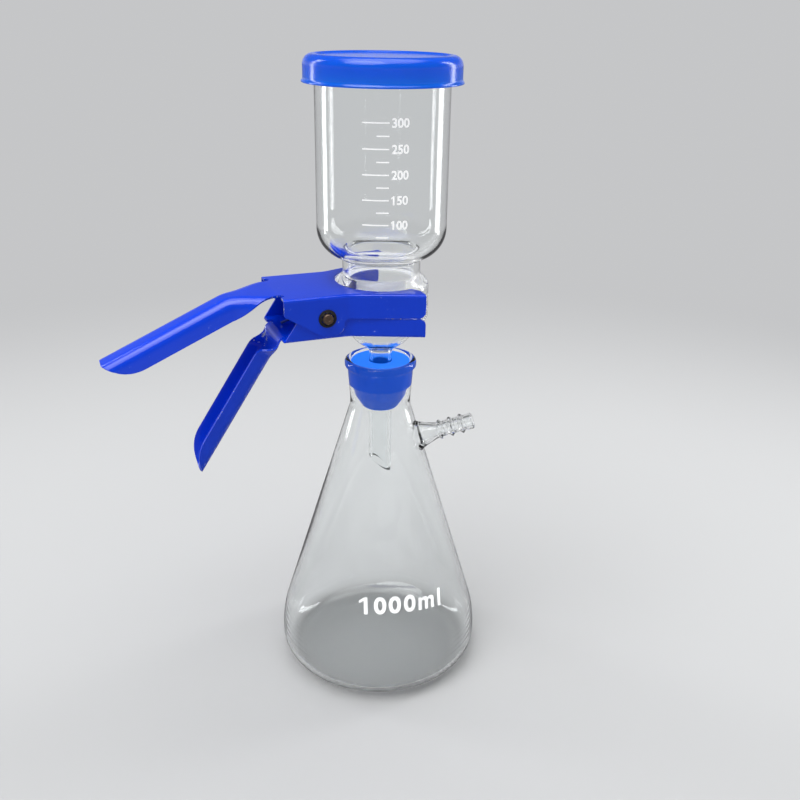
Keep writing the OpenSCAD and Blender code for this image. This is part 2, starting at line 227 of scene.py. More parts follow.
def darker(colour, share):
    """The colour with so much of its brightness left."""
    return tuple(value * share for value in colour)


def clear_glass(t):
    """Blown laboratory glass, with a faint wave that stands up and down."""
    tint = tuple(bpy.context.scene.unit_finish.glass_tint)
    wave = t.noise(26.0, 1.0, 0.4, (1.0, 1.0, 0.45))
    ripple = t.noise(120.0, 1.0, 0.4, (1.0, 1.0, 0.3))
    t.surface(
        Base_Color=tint,
        Roughness=0.0,
        IOR=1.474,
        Transmission_Weight=1.0,
        Normal=t.bump(wave + ripple * 0.12, 0.16),
    )


def ground_glass(t):
    """The frosted faces of the joint; a little light of their own stands for what they scatter."""
    grain = t.noise(2400.0, 3.0, 0.7)
    t.surface(
        Base_Color=t.mix(t.noise(90.0, 3.0, 0.6), (0.93, 0.95, 0.96), (0.99, 0.99, 0.99)),
        Roughness=0.62,
        IOR=1.474,
        Transmission_Weight=0.6,
        Emission_Color=WHITE,
        Emission_Strength=0.4,
        Normal=t.bump(grain, 0.02),
    )


def white_enamel(t):
    """Fired-on print, matt and slightly patchy."""
    patch = t.noise(900.0, 3.0, 0.6)
    t.surface(
        Base_Color=t.mix(patch.ramp(0.35, 0.75), (0.96, 0.97, 0.97), (0.84, 0.86, 0.87)),
        Roughness=0.38 + patch * 0.25,
        Normal=t.bump(patch, 0.02),
        # painted glow: the print gives off a little white light of its own
        Emission_Color=WHITE,
        Emission_Strength=0.4,
    )


def silicone(t):
    """The stopper: matt and dusty, its flat top lit brighter than the part within the neck."""
    blue = tuple(bpy.context.scene.unit_finish.stopper_blue)
    cloud = t.noise(60.0, 3.0, 0.55)
    skin = t.noise(1500.0, 3.0, 0.65)
    dust = (t.noise(420.0, 4.0, 0.7) * cloud).ramp(0.36, 0.5)
    # mask of the flat top, where the painted glow is brighter
    top = t.along(2).ramp((STOPPER_TOP - 1.3) * MM, (STOPPER_TOP - 0.2) * MM)
    pale = tuple(c + (1.0 - c) * 0.16 for c in blue)
    t.surface(
        Base_Color=t.mix(dust * 0.15, t.mix(cloud, darker(blue, 0.78), blue), pale),
        Roughness=0.4 + skin * 0.16,
        Specular_IOR_Level=0.3,
        # painted glow: light scattered in the silicone, brightest on the top
        Emission_Color=t.mix(top, darker(blue, 0.25), (0.02, 0.23, 1.0)),
        Emission_Strength=0.75,
        Normal=t.bump(skin, 0.03),
    )


def moulded_lid(t):
    """Soft translucent plastic, brighter in the skirt than in the solid top."""
    blue = tuple(bpy.context.scene.unit_finish.lid_blue)
    flow = t.noise(38.0, 2.0, 0.5, (1.0, 1.0, 2.5))
    peel = t.noise(700.0, 2.0, 0.5)
    scuff = t.noise(160.0, 5.0, 0.75, (1.0, 4.0, 1.0)).ramp(0.6, 0.78)
    # mask of the skirt, where the painted glow is brighter
    skirt = 1.0 - t.along(2).ramp((RIM_Z - 10.5) * MM, (RIM_Z - 1.5) * MM)
    t.surface(
        Base_Color=t.mix(flow, darker(blue, 0.86), blue),
        Roughness=0.14 + peel * 0.05 + scuff * 0.15,
        IOR=1.5,
        Transmission_Weight=0.5,
        # painted glow: light through the thin skirt, given as the plastic's own
        Emission_Color=t.mix(skirt, blue, (0.0, 0.34, 0.95)),
        Emission_Strength=0.1,
        Normal=t.bump(peel + flow * 3.0, 0.035),
    )


def painted_steel(t):
    """Glossy paint over steel, scuffed and chipped along the cut edges."""
    blue = tuple(bpy.context.scene.unit_finish.paint_blue)
    cloud = t.noise(45.0, 3.0, 0.5)
    peel = t.noise(520.0, 2.0, 0.5)
    rim = t.attribute("rim")
    wear = t.noise(260.0, 5.0, 0.7) * 0.6 + t.noise(40.0, 2.0, 0.5) * 0.4
    scuff = (wear + rim * 0.08).ramp(0.6, 0.72)
    chip = (wear + rim * 0.09).ramp(0.665, 0.675)
    painted = t.mix(cloud, darker(blue, 0.86), blue)
    worn = t.mix(scuff * 0.3, painted, (0.12, 0.26, 0.95))
    t.surface(
        Base_Color=t.mix(chip, worn, (0.62, 0.64, 0.7)),
        Roughness=0.3 + scuff * 0.2 + cloud * 0.05,
        Specular_IOR_Level=0.1,
        Coat_Weight=0.8 - chip * 0.7,
        Coat_Roughness=0.05,
        Coat_IOR=1.5,
        Normal=t.bump(peel * 0.6 + cloud * 2.0 - chip * 1.2, 0.05),
    )


def bronze(t):
    """The pin: brown, turned metal."""
    brushed = t.noise(500.0, 4.0, 0.6, (1.0, 0.1, 1.0))
    stain = t.noise(260.0, 3.0, 0.6)
    t.surface(
        Base_Color=t.mix(stain, (0.13, 0.085, 0.06), (0.3, 0.2, 0.14)),
        Metallic=0.9,
        Roughness=0.3 + brushed * 0.2,
        Normal=t.bump(brushed, 0.02),
    )


def black_oxide(t):
    """The retaining ring's blackened spring steel."""
    stain = t.noise(320.0, 4.0, 0.65)
    t.surface(
        Base_Color=t.mix(stain, (0.012, 0.012, 0.014), (0.05, 0.046, 0.045)),
        Metallic=0.55,
        Roughness=0.34 + stain * 0.2,
        Normal=t.bump(t.noise(1400.0, 2.0, 0.5), 0.02),
    )


def spring_wire(t):
    """Bright drawn wire."""
    drawn = t.noise(700.0, 4.0, 0.6)
    t.surface(
        Base_Color=t.mix(drawn, (0.3, 0.3, 0.31), (0.52, 0.51, 0.5)),
        Metallic=1.0,
        Roughness=0.24 + drawn * 0.18,
        Normal=t.bump(drawn, 0.02),
    )


def sintered_glass(t):
    """White grains fused together, glowing a little with scattered light."""
    grain = t.cells(1900.0)
    cloud = t.noise(120.0, 3.0, 0.6)
    t.surface(
        Base_Color=t.mix(grain * cloud * 1.4, (0.95, 0.95, 0.93), (0.74, 0.75, 0.74)),
        Roughness=0.75 + cloud * 0.2,
        Emission_Color=WHITE,
        Emission_Strength=0.25,
        Normal=t.bump(grain, 0.09),
    )


def pale_floor(t):
    """A pale floor that runs into its background, and is dimmer in the glass's reflections."""
    stage = bpy.context.scene.unit_stage
    grey = tuple(stage.floor_colour)
    mottle = t.noise(3.0, 4.0, 0.6)
    x, y = t.along(0), t.along(1)
    away = (x * x + y * y) ** 0.5
    # painted pool of light: the floor is paler under the flask, where the flask would gather light
    painted_pool = away.ramp((FLASK_R - 1) * MM, (FLASK_R - 15) * MM)
    lit = t.node("ShaderNodeBsdfPrincipled", sockets={
        "Base Color": t.mix(painted_pool, t.mix(mottle, darker(grey, 0.97), grey), (0.97, 0.97, 0.97)),
        "Roughness": 0.7 + mottle * 0.1,
        "Specular IOR Level": 0.2,
        "Normal": t.bump(t.noise(900.0, 2.0, 0.5), 0.02),
    })
    far = t.node("ShaderNodeEmission", sockets={"Color": (*stage.background, 1.0)})
    dim = t.node("ShaderNodeEmission", sockets={"Color": (*stage.mirrored_floor, 1.0)})
    shown = lit
    for share, other in ((away.ramp(stage.fade_start, stage.fade_end), far), (t.mirrored(), dim)):
        shown = t.node("ShaderNodeMixShader", sockets={0: share, 1: shown.outputs[0], 2: other.outputs[0]})
    t.node("ShaderNodeOutputMaterial", sockets={"Surface": shown.outputs[0]})


# ---------------------------------------------------------------- mesh tools


def heading(degrees):
    """The flat unit vector at that angle."""
    return Vector((math.cos(math.radians(degrees)), math.sin(math.radians(degrees))))


def rounded(corners, step=5.0, guard=0.5, closed=True):
    """An outline through corners (x, y, radius), with its corners rounded in steps of so many degrees.

    A long side gets a point at each end, the guard's distance in, so that shading stays flat between them.
    """
    points = []
    last = len(corners) - 1
    for i, (x, y, radius) in enumerate(corners):
        b = Vector((x, y))
        if radius <= 0 or (not closed and i in (0, last)):
            points.append(b)
            continue
        u = (Vector(corners[i - 1][:2]) - b).normalized()
        v = (Vector(corners[(i + 1) % len(corners)][:2]) - b).normalized()
        half = math.acos(max(-1.0, min(1.0, u.dot(v)))) / 2
        middle = b + (u + v).normalized() * radius / math.sin(half)
        first = b + u * radius / math.tan(half) - middle
        end = b + v * radius / math.tan(half) - middle
        turn = math.atan2(first.cross(end), first.dot(end))
        n = max(2, math.ceil(math.degrees(abs(turn)) / step))
        for k in range(n + 1):
            points.append(middle + Matrix.Rotation(turn * k / n, 2) @ first)
    guarded = []
    for i, a in enumerate(points):
        guarded.append(a)
        if not closed and i == len(points) - 1:
            break
        b = points[(i + 1) % len(points)]
        length = (b - a).length
        if length > 5 * guard:
            guarded += [a + (b - a) * guard / length, b - (b - a) * guard / length]
    return guarded


def path_lengths(points):
    """How far along a path each of its points lies."""
    lengths = [0.0]
    for a, b in zip(points, points[1:]):
        lengths.append(lengths[-1] + (b - a).length)
    return lengths


def point_at(points, lengths, s):
    """The point that far along a path; past its end, on its last leg carried on."""
    i = next((i for i in range(len(points) - 2) if s <= lengths[i + 1]), len(points) - 2)
    return points[i] + (points[i + 1] - points[i]) * (s - lengths[i]) / (lengths[i + 1] - lengths[i])


def ring(bm, radius, z, angles, tilt=None):
    """Vertices round the Z axis at those angles, or one on it; tilt turns (x, y, z) into a height."""
    if radius < 1e-6:
        return [bm.verts.new((0.0, 0.0, z * MM))]
    made = []
    for a in angles:
        x, y = radius * math.cos(a), radius * math.sin(a)
        made.append(bm.verts.new((x * MM, y * MM, (z if tilt is None else tilt(x, y, z)) * MM)))
    return made


def skin(bm, first, second, skip=None):
    """Faces between two rings of as many vertices; either may be a single vertex."""
    n = max(len(first), len(second))
    if n == 1:
        return
    for k in range(n):
        if skip is not None and skip(k):
            continue
        j = (k + 1) % n
        if len(first) == 1:
            bm.faces.new((first[0], second[j], second[k]))
        elif len(second) == 1:
            bm.faces.new((first[k], first[j], second[0]))
        else:
            bm.faces.new((first[k], first[j], second[j], second[k]))


def around(columns, start=0.0):
    """So many even angles round a circle, in radians, from a start in degrees."""
    return [math.radians(start) + 2 * math.pi * k / columns for k in range(columns)]


def turned(outline, columns, tilt=None):
    """A closed shell: the outline of (radius, height) points turned round the Z axis."""
    bm = bmesh.new()
    angles = around(columns)
    rings = [ring(bm, r, z, angles, tilt) for r, z in outline]
    for first, second in zip(rings, rings[1:] + rings[:1]):
        skin(bm, first, second)
    return bm


def as_piece(bm, name, body, materials, replaces=(), sharp=40.0, pick=None):
    """Turns the mesh under work into a finished piece that rides on its body.

    Where a piece has two materials, pick chooses one by a face's middle, in millimetres, and its normal.
    """
    bmesh.ops.remove_doubles(bm, verts=bm.verts, dist=1e-7)
    bmesh.ops.recalc_face_normals(bm, faces=bm.faces)
    bm.normal_update()
    for face in bm.faces:
        face.smooth = True
        if pick is not None:
            face.material_index = pick(face.calc_center_median() / MM, face.normal)
    mesh = bpy.data.meshes.new(name)
    bm.to_mesh(mesh)
    bm.free()
    dress(mesh, name, body, materials, replaces, sharp)


def dress(mesh, name, body, materials, replaces=(), sharp=40.0):
    """A piece from a finished mesh, riding on its body, if it has one, in place of the nodes it replaces."""
    if mesh.materials:
        mesh.materials.clear()
    for material in materials:
        mesh.materials.append(material)
    if sharp:
        mesh.set_sharp_from_angle(angle=math.radians(sharp))
    piece = bpy.data.objects.new(name, mesh)
    bpy.context.scene.collection.objects.link(piece)
    if body is not None:
        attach(piece, body)
    if replaces:
        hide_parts(*replaces)
    return piece


def applied(obj):
    """The object's mesh with its modifiers applied, as new data; the object itself is removed."""
    bpy.context.view_layer.update()
    mesh = bpy.data.meshes.new_from_object(obj.evaluated_get(bpy.context.evaluated_depsgraph_get()))
    bpy.data.objects.remove(obj)
    return mesh


def node_made(name, tree, settings, source=None):
    """The mesh that a Geometry Nodes tree makes on an object, with its named inputs set first."""
    obj = bpy.data.objects.new(name + "_source", source or bpy.data.meshes.new(name + "_source"))
    bpy.context.scene.collection.objects.link(obj)
    modifier = obj.modifiers.new(name, "NODES")
    modifier.node_group = tree
    ids = {item.name: item.identifier for item in tree.interface.items_tree if item.item_type == "SOCKET"}
    for key, value in settings.items():
        modifier[ids[key]] = value
    mesh = applied(obj)
    mesh.name = name
    return mesh


def node_group(name, inputs, source=False):
    """A new Geometry Nodes group with its inputs by name and kind; its Tree, and its inputs' sockets."""
    group = bpy.data.node_groups.new(name, "GeometryNodeTree")
    group.is_modifier = True
    if source:
        group.interface.new_socket("Geometry", in_out="INPUT", socket_type="NodeSocketGeometry")
    for label, kind in inputs.items():
        group.interface.new_socket(label, in_out="INPUT", socket_type="NodeSocket" + kind)
    group.interface.new_socket("Geometry", in_out="OUTPUT", socket_type="NodeSocketGeometry")
    tree = Tree(group)
    given = tree.node("NodeGroupInput").outputs
    return group, tree, given


def close_group(tree, geometry, material):
    """Ends a group: instances made real, and the material set."""
    real = tree.node("GeometryNodeRealizeInstances", sockets={"Geometry": geometry}).outputs[0]
    dressed = tree.node("GeometryNodeSetMaterial", sockets={"Geometry": real, "Material": material})
    tree.node("NodeGroupOutput", sockets={0: dressed.outputs[0]})


# ---------------------------------------------------------------- flask

NECK_R, NECK_Z, SHOULDER_Z, WALL = 18.4, 181.0, 28.4, 2.4
HEEL_ROUND, DOME = 16, 2.2  # rounding of the foot's edge, and how high its middle stands
LEAN = math.atan((FLASK_R - NECK_R) / (NECK_Z - SHOULDER_Z))
TAPER = math.tan(math.radians(4.35))
ARM_AZIMUTH, ARM_SLOPE, ARM_Z = math.radians(-26.5), math.radians(20.0), 159.0
ARM_LENGTH = 35.0
ARM_ROOT_R, ARM_MOUTH_R, ARM_MOUTH_ROUND = 9.6, 6.5, 1.6


def neck_inside(z):
    """Radius of the tapered neck's bore at a height."""
    return NECK_R - WALL + (z - NECK_Z) * TAPER


def cone_outside(z):
    """Radius of the cone's outer face at a height."""
    return NECK_R + (NECK_Z - z) * math.tan(LEAN)


def cone_inside(z):
    """Radius of the cone's inner face at a height."""
    return cone_outside(z) - WALL / math.cos(LEAN)


def flask_outline():
    """The flask's section: up its outside, over the beaded rim, and down its inside to the domed floor."""
    drop = WALL * math.tan(LEAN / 2)
    inside = FLASK_R - WALL
    rim = neck_inside(FLASK_H - 5) + WALL + 1.7
    bead = FLASK_H - 5.7
    return rounded(
        [
            (0, DOME, 0), (20, DOME, 340), (40, 0, 10), (FLASK_R, 0, HEEL_ROUND), (FLASK_R, SHOULDER_Z, 70),
            (NECK_R, NECK_Z, 20), (neck_inside(bead) + WALL, bead, 2.2), (rim, bead + 1.3, 1.5),
            (rim, FLASK_H, 2.2), (neck_inside(FLASK_H), FLASK_H, 1.6),
            (neck_inside(NECK_Z), NECK_Z - drop, 16), (inside, SHOULDER_Z - drop, 70 - WALL),
            (inside, WALL, HEEL_ROUND - WALL), (40, WALL, 10), (20, DOME + WALL, 340), (0, DOME + WALL, 0),
        ],
        step=3.0,
    )


def with_rows(outline, heights, rising):
    """The outline with extra points at these heights on its long straight side, and their first index."""
    for i in range(len(outline) - 1):
        a, b = outline[i], outline[i + 1]
        if (b.y > a.y) == rising and min(a.y, b.y) < heights[0] and max(a.y, b.y) > heights[-1]:
            added = [a + (b - a) * (z - a.y) / (b.y - a.y) for z in (heights if rising else heights[::-1])]
            return outline[: i + 1] + added + outline[i + 1 :], i + 1
    raise RuntimeError("no straight side spans those heights")


ARM_SIDE = Vector((-math.sin(ARM_AZIMUTH), math.cos(ARM_AZIMUTH), 0.0))
ARM_OUT = Vector((math.cos(ARM_AZIMUTH), math.sin(ARM_AZIMUTH), 0.0))
ARM_AXIS = ARM_OUT * math.cos(ARM_SLOPE) + Vector((0.0, 0.0, math.sin(ARM_SLOPE)))
ARM_UP = ARM_AXIS.cross(ARM_SIDE)
ARM_ROOT = ARM_OUT * cone_outside(ARM_Z) + Vector((0.0, 0.0, ARM_Z))


def beside_arm(radius, angle):
    """The point at the arm's root that lies so far from its axis, at an angle round it."""
    return ARM_ROOT + (ARM_SIDE * math.cos(angle) + ARM_UP * math.sin(angle)) * radius


def depth_on(cone, radius, angle):
    """How far along the arm's axis a line beside it meets that cone."""
    base = beside_arm(radius, angle)
    s, nudge = 0.0, 0.01
    for _ in range(12):
        p = base + ARM_AXIS * s
        gap = math.hypot(p.x, p.y) - cone(p.z)
        q = p + ARM_AXIS * nudge
        s -= gap * nudge / (math.hypot(q.x, q.y) - cone(q.z) - gap)
    return s


def arm_angle(vertex):
    """A vertex's angle round the arm and its distance from the arm's axis."""
    p = vertex.co / MM - ARM_ROOT
    side, up = p.dot(ARM_SIDE), p.dot(ARM_UP)
    return math.atan2(up, side), math.hypot(up, side)


def arm_ring(bm, angles, radius, s):
    """A ring round the arm, s along its axis; radius and s may be functions of the angle."""
    made = []
    for a in angles:
        r = radius(a) if callable(radius) else radius
        depth = s(a) if callable(s) else s
        made.append(bm.verts.new((beside_arm(r, a) + ARM_AXIS * depth) * MM))
    return made


def patch_edge(rings, low, high, columns):
    """The border of a patch of a lathed wall, so many columns wide, from its low corner round."""
    step = 1 if high > low else -1
    border = rings[low][:columns]
    border += [rings[i][columns] for i in range(low, high, step)]
    border += [rings[high][k] for k in range(columns, 0, -1)]
    border += [rings[i][0] for i in range(high, low, -step)]
    return border


def eased(x):
    """0 up to 0, 1 from 1 on, smooth between."""
    x = max(0.0, min(1.0, x))
    return x * x * (3 - 2 * x)


def wall_rings(bm, angles, places, cone, radius, shares):
    """Rings in the wall, that far of the way from the patch's border to a circle round the arm."""
    made = []
    for share in shares:
        part = {a: far + (radius - far) * share for a, far in places}
        made.append(arm_ring(bm, angles, part.get, lambda a, part=part: depth_on(cone, part[a], a)))
    return made


def arm_outside(bm, border, sizes):
    """Rings from a patch of the wall, through the flared root and over the hose ridges, into the mouth."""
    places = [arm_angle(v) for v in border]
    angles = [a for a, _ in places]
    tube, bore = sizes.arm_diameter / MM / 2, sizes.arm_bore / MM / 2
    loops = [border, *wall_rings(bm, angles, places, cone_outside, ARM_ROOT_R + 0.6, (0.5, 0.85))]
    start = ARM_ROOT_R + 0.3
    loops.append(arm_ring(bm, angles, start, lambda a: depth_on(cone_outside, start, a)))
    # the flare: a cubic, as (radius, rise), from flat on the wall to straight along the tube
    bends = (ARM_ROOT_R, 0.0), (8.5, 0.3), (6.2, 6.6), (tube, 12.2)
    for k in range(13):
        t = k / 12
        weights = (1 - t) ** 3, 3 * t * (1 - t) ** 2, 3 * t * t * (1 - t), t**3
        r, rise = (sum(w * bend[i] for w, bend in zip(weights, bends)) for i in (0, 1))
        bent = 1 - eased(t)
        loops.append(arm_ring(
            bm, angles, r, lambda a, r=r, rise=rise, bent=bent: depth_on(cone_outside, r, a) * bent + rise))
    for k in range(3):
        middle = ARM_LENGTH - 7.3 - (2 - k) * sizes.ridge_pitch / MM
        for x in (u / 6 for u in range(-6, 7)):
            lift = sizes.ridge_height / MM * (0.5 + 0.5 * math.cos(math.pi * x)) ** 0.62
            loops.append(arm_ring(bm, angles, tube + lift, middle + 1.5 * x))
    for from_mouth, lift in ((4.2, 0.0), (2.0, 0.25), (1.2, 0.3)):
        loops.append(arm_ring(bm, angles, tube + lift, ARM_LENGTH - from_mouth))
    # the mouth's two rounded edges
    for k in range(1, 7):
        q = math.pi / 2 * k / 6
        r = tube - 0.55 + 0.85 * math.cos(q)
        loops.append(arm_ring(bm, angles, r, ARM_LENGTH - 0.85 * (1 - math.sin(q))))
    for k in range(5, -1, -1):
        q = math.pi / 2 * k / 5
        r = bore + 0.55 * (1 - math.cos(q))
        loops.append(arm_ring(bm, angles, r, ARM_LENGTH - 0.55 * (1 - math.sin(q))))
    return loops


def arm_inside(bm, edge, sizes):
    """Rings from inside the mouth, down the bore and through its flare, to a patch of the inner wall."""
    places = [arm_angle(v) for v in edge]
    angles = [a for a, _ in places]
    bore = sizes.arm_bore / MM / 2
    straight = [(ARM_LENGTH - 1.5, 0.0), (22.0, 0.0), (14.0, 0.0)]
    flare = [(11.5, 0.15), (9.0, 0.65), (6.5, 1.45), (4.0, 2.4)]
    loops = [arm_ring(bm, angles, bore + wider, s) for s, wider in straight + flare]
    loops.append(arm_ring(bm, angles, ARM_MOUTH_R - 0.3, 1.8))
    for k in range(7):
        q = math.pi / 2 * k / 6
        r = ARM_MOUTH_R + ARM_MOUTH_ROUND * (1 - math.cos(q))
        rise = ARM_MOUTH_ROUND * (1 - math.sin(q))
        loops.append(arm_ring(bm, angles, r, lambda a, r=r, rise=rise: depth_on(cone_inside, r, a) + rise))
    rim = ARM_MOUTH_R + ARM_MOUTH_ROUND
    return [*loops, *wall_rings(bm, angles, places, cone_inside, rim, (0.9, 0.6, 0.3)), edge]


def build_flask():
    """One blown shell: a square patch of its wall, on each side, is left open and runs into the side arm."""
    sizes = bpy.context.scene.unit_glass
    cells, columns = 20, 128
    outer = [ARM_Z + (k - cells / 2) * 1.18 for k in range(cells + 1)]
    inner = [ARM_Z - 0.9 + (k - cells / 2) * 1.05 for k in range(cells + 1)]
    outline, first = with_rows(flask_outline(), outer, True)
    outline, second = with_rows(outline, inner, False)
    bm = bmesh.new()
    angles = around(columns, math.degrees(ARM_AZIMUTH) - cells / 2 * 360 / columns)
    rings = [ring(bm, p.x, p.y, angles) for p in outline]
    for i in range(len(rings) - 1):
        hole = first <= i < first + cells or second <= i < second + cells
        skin(bm, rings[i], rings[i + 1], skip=(lambda k: k < cells) if hole else None)
    loops = arm_outside(bm, patch_edge(rings, first, first + cells, cells), sizes)
    loops += arm_inside(bm, patch_edge(rings, second + cells, second, cells), sizes)
    for one, other in zip(loops, loops[1:]):
        skin(bm, one, other)
    as_piece(bm, "flask_glass", "stand", [finish("clear_glass", clear_glass)], ["flask"], 50.0)


def build_stopper():
    """Pressed into the neck: above its tapered foot it lies against the glass, with no air between."""
    hole, touch, grip = STEM_R + 0.1, 0.02, 193.0
    outline = rounded(
        [(hole, STOPPER_LOW, 0.5), (10.4, STOPPER_LOW, 3.0), (15.4, 187.0, 12.0),
         (neck_inside(grip) + touch, grip, 2.0), (neck_inside(STOPPER_TOP) + touch, STOPPER_TOP, 0.9),
         (hole, STOPPER_TOP, 0.5)],
        step=6.0,
    )
    rubber = [finish("blue_silicone", silicone)]
    as_piece(turned(outline, 128), "stopper", "stand", rubber, ["stopper"])


# ---------------------------------------------------------------- filter base, disc, cup and lid

STEM_BORE_R, STEM_TOP = 5.0, 152.0
TIP_Z, TIP_CUT, TIP_TURN = 139.0, math.radians(38.0), math.radians(-20.0)
SEAT_R, SEAT_Z = DISC_R + 0.1, 243.88
FLANGE_H, FLANGE_ROUND, NECKING_R = 10.5, 5, 22.8
CUP_WALL, CUP_BORE_R = 2.8, 19.6
GROUND = 0.03  # half the film of air between the two ground faces


def clear_and_ground():
    """The two finishes of a glass piece with a ground face; its faces pick 0 or 1."""
    return [finish("clear_glass", clear_glass), finish("ground_glass", ground_glass)]


def build_filter_base():
    """The flange with its seat for the disc, the bowl, and the stem down to its slanted tip."""
    bowl = 232.3
    joint = JOINT_Z - GROUND

    def tilt(x, y, z):
        """A height under 100 counts up from the slanted tip, any other is plain."""
        if z >= 100:
            return z
        return TIP_Z - math.tan(TIP_CUT) * (x * math.cos(TIP_TURN) + y * math.sin(TIP_TURN)) + z

    def is_ground(middle, normal):
        """1 for a face of the joint, outside the disc's seat."""
        level = abs(middle.z - joint) < 0.05 and normal.z > 0.9
        return int(level and math.hypot(middle.x, middle.y) > SEAT_R + 0.2)

    upper = rounded(
        [
            (STEM_R, STEM_TOP, 0), (STEM_R, bowl - 16.2, 3), (15.8, bowl - 10, 16), (NECKING_R, bowl, 6),
            (FLANGE_R, joint - FLANGE_H, FLANGE_ROUND), (FLANGE_R, joint, 0.6), (SEAT_R, joint, 0.4),
            (SEAT_R, SEAT_Z, 0.3), (17.5, SEAT_Z, 0.6), (17.5, bowl - 1.3, 5), (14, bowl - 8.2, 13),
            (STEM_BORE_R, bowl - 14.3, 3), (STEM_BORE_R, STEM_TOP, 0),
        ],
        step=4.0, closed=False,
    )
    # the tip's lip, its rounded edges mirrored about the middle of the wall
    middle, half = (STEM_R + STEM_BORE_R) / 2, (STEM_R - STEM_BORE_R) / 2
    edge = [(half, 2.0), (half, 0.45), (half - 0.12, 0.14), (half - 0.45, 0.0)]
    lip = [(middle - r, z) for r, z in edge] + [(middle + r, z) for r, z in reversed(edge)]
    bm = turned([*upper, *lip], 128, tilt)
    as_piece(bm, "filter_base_glass", "stand", clear_and_ground(), ["filter_base"], 50.0, is_ground)


def build_disc():
    """The sintered disc, flush in the base's flange."""
    low, high = extent("sintered_disc", 2)[0], JOINT_Z - 0.05
    corners = [(0, low, 0), (DISC_R, low, 0.4), (DISC_R, high, 0.4), (0, high, 0)]
    outline = rounded(corners, step=15.0, closed=False)
    frit = [finish("sintered_glass", sintered_glass)]
    as_piece(turned(outline, 128), "sintered_disc", "stand", frit, ["sintered_disc"])


def build_cup():
    """The graduated cup: ground flange, throat, round shoulder and rolled rim."""
    z = JOINT_Z
    low = z + GROUND
    outline = rounded(
        [
            (CUP_BORE_R, low, 0.6), (FLANGE_R, low, 0.6), (FLANGE_R, z + FLANGE_H, FLANGE_ROUND),
            (NECKING_R, z + 15.7, 2.5), (NECKING_R, z + 25.5, 2), (CUP_R, z + 28.9, 17.5),
            (CUP_R, RIM_Z - 5.5, 4), (LIP_R, RIM_Z - 3.3, 1.5), (LIP_R, RIM_Z, 1.5),
            (CUP_R - CUP_WALL, RIM_Z, 1.8), (CUP_R - CUP_WALL, z + 32, 15), (CUP_BORE_R, z + 28.5, 2.6),
        ],
        step=3.0,
    )

    def is_ground(middle, normal):
        """1 for a face of the joint."""
        return int(middle.z < low + 0.03 and normal.z < -0.9)

    cup = turned(outline, 160)
    as_piece(cup, "funnel_cup_glass", "stand", clear_and_ground(), ["funnel_cup"], 50.0, is_ground)


def build_lid():
    """The push-on lid: a recessed top, a rounded shoulder, and a small foot on its skirt."""
    z = RIM_Z + 0.3
    inside, outside, foot = LIP_R + 0.3, 43.6, 44.5
    outline = rounded(
        [
            (0, z + 1.6, 0), (35.4, z + 1.6, 1.2), (37.2, z + 2.6, 1.2), (outside, z + 2.6, 5.4),
            (outside, z - 10.1, 2.2), (foot, z - 11.2, 0.5), (foot, z - 12.0, 0.4), (inside, z - 12.0, 0.7),
            (inside, z, 1.4), (0, z, 0),
        ],
        step=6.0, closed=False,
    )
    plastic = [finish("moulded_lid", moulded_lid)]
    as_piece(turned(outline, 160), "lid", "lid", plastic, ["lid"])


# ---------------------------------------------------------------- clamp

REAR_X, BEND_X = -66.0, -28.0
BEND_SOFT = 2.4  # half the length over which a wall bends outwards
ROOT_HALF = 15.0  # half width of a handle where it leaves its plate
TONGUE = 20.0  # length of a handle's rounded end
PIN_R = 3.0
LOWER_PLATE = UPPER_PLATE + 1.5


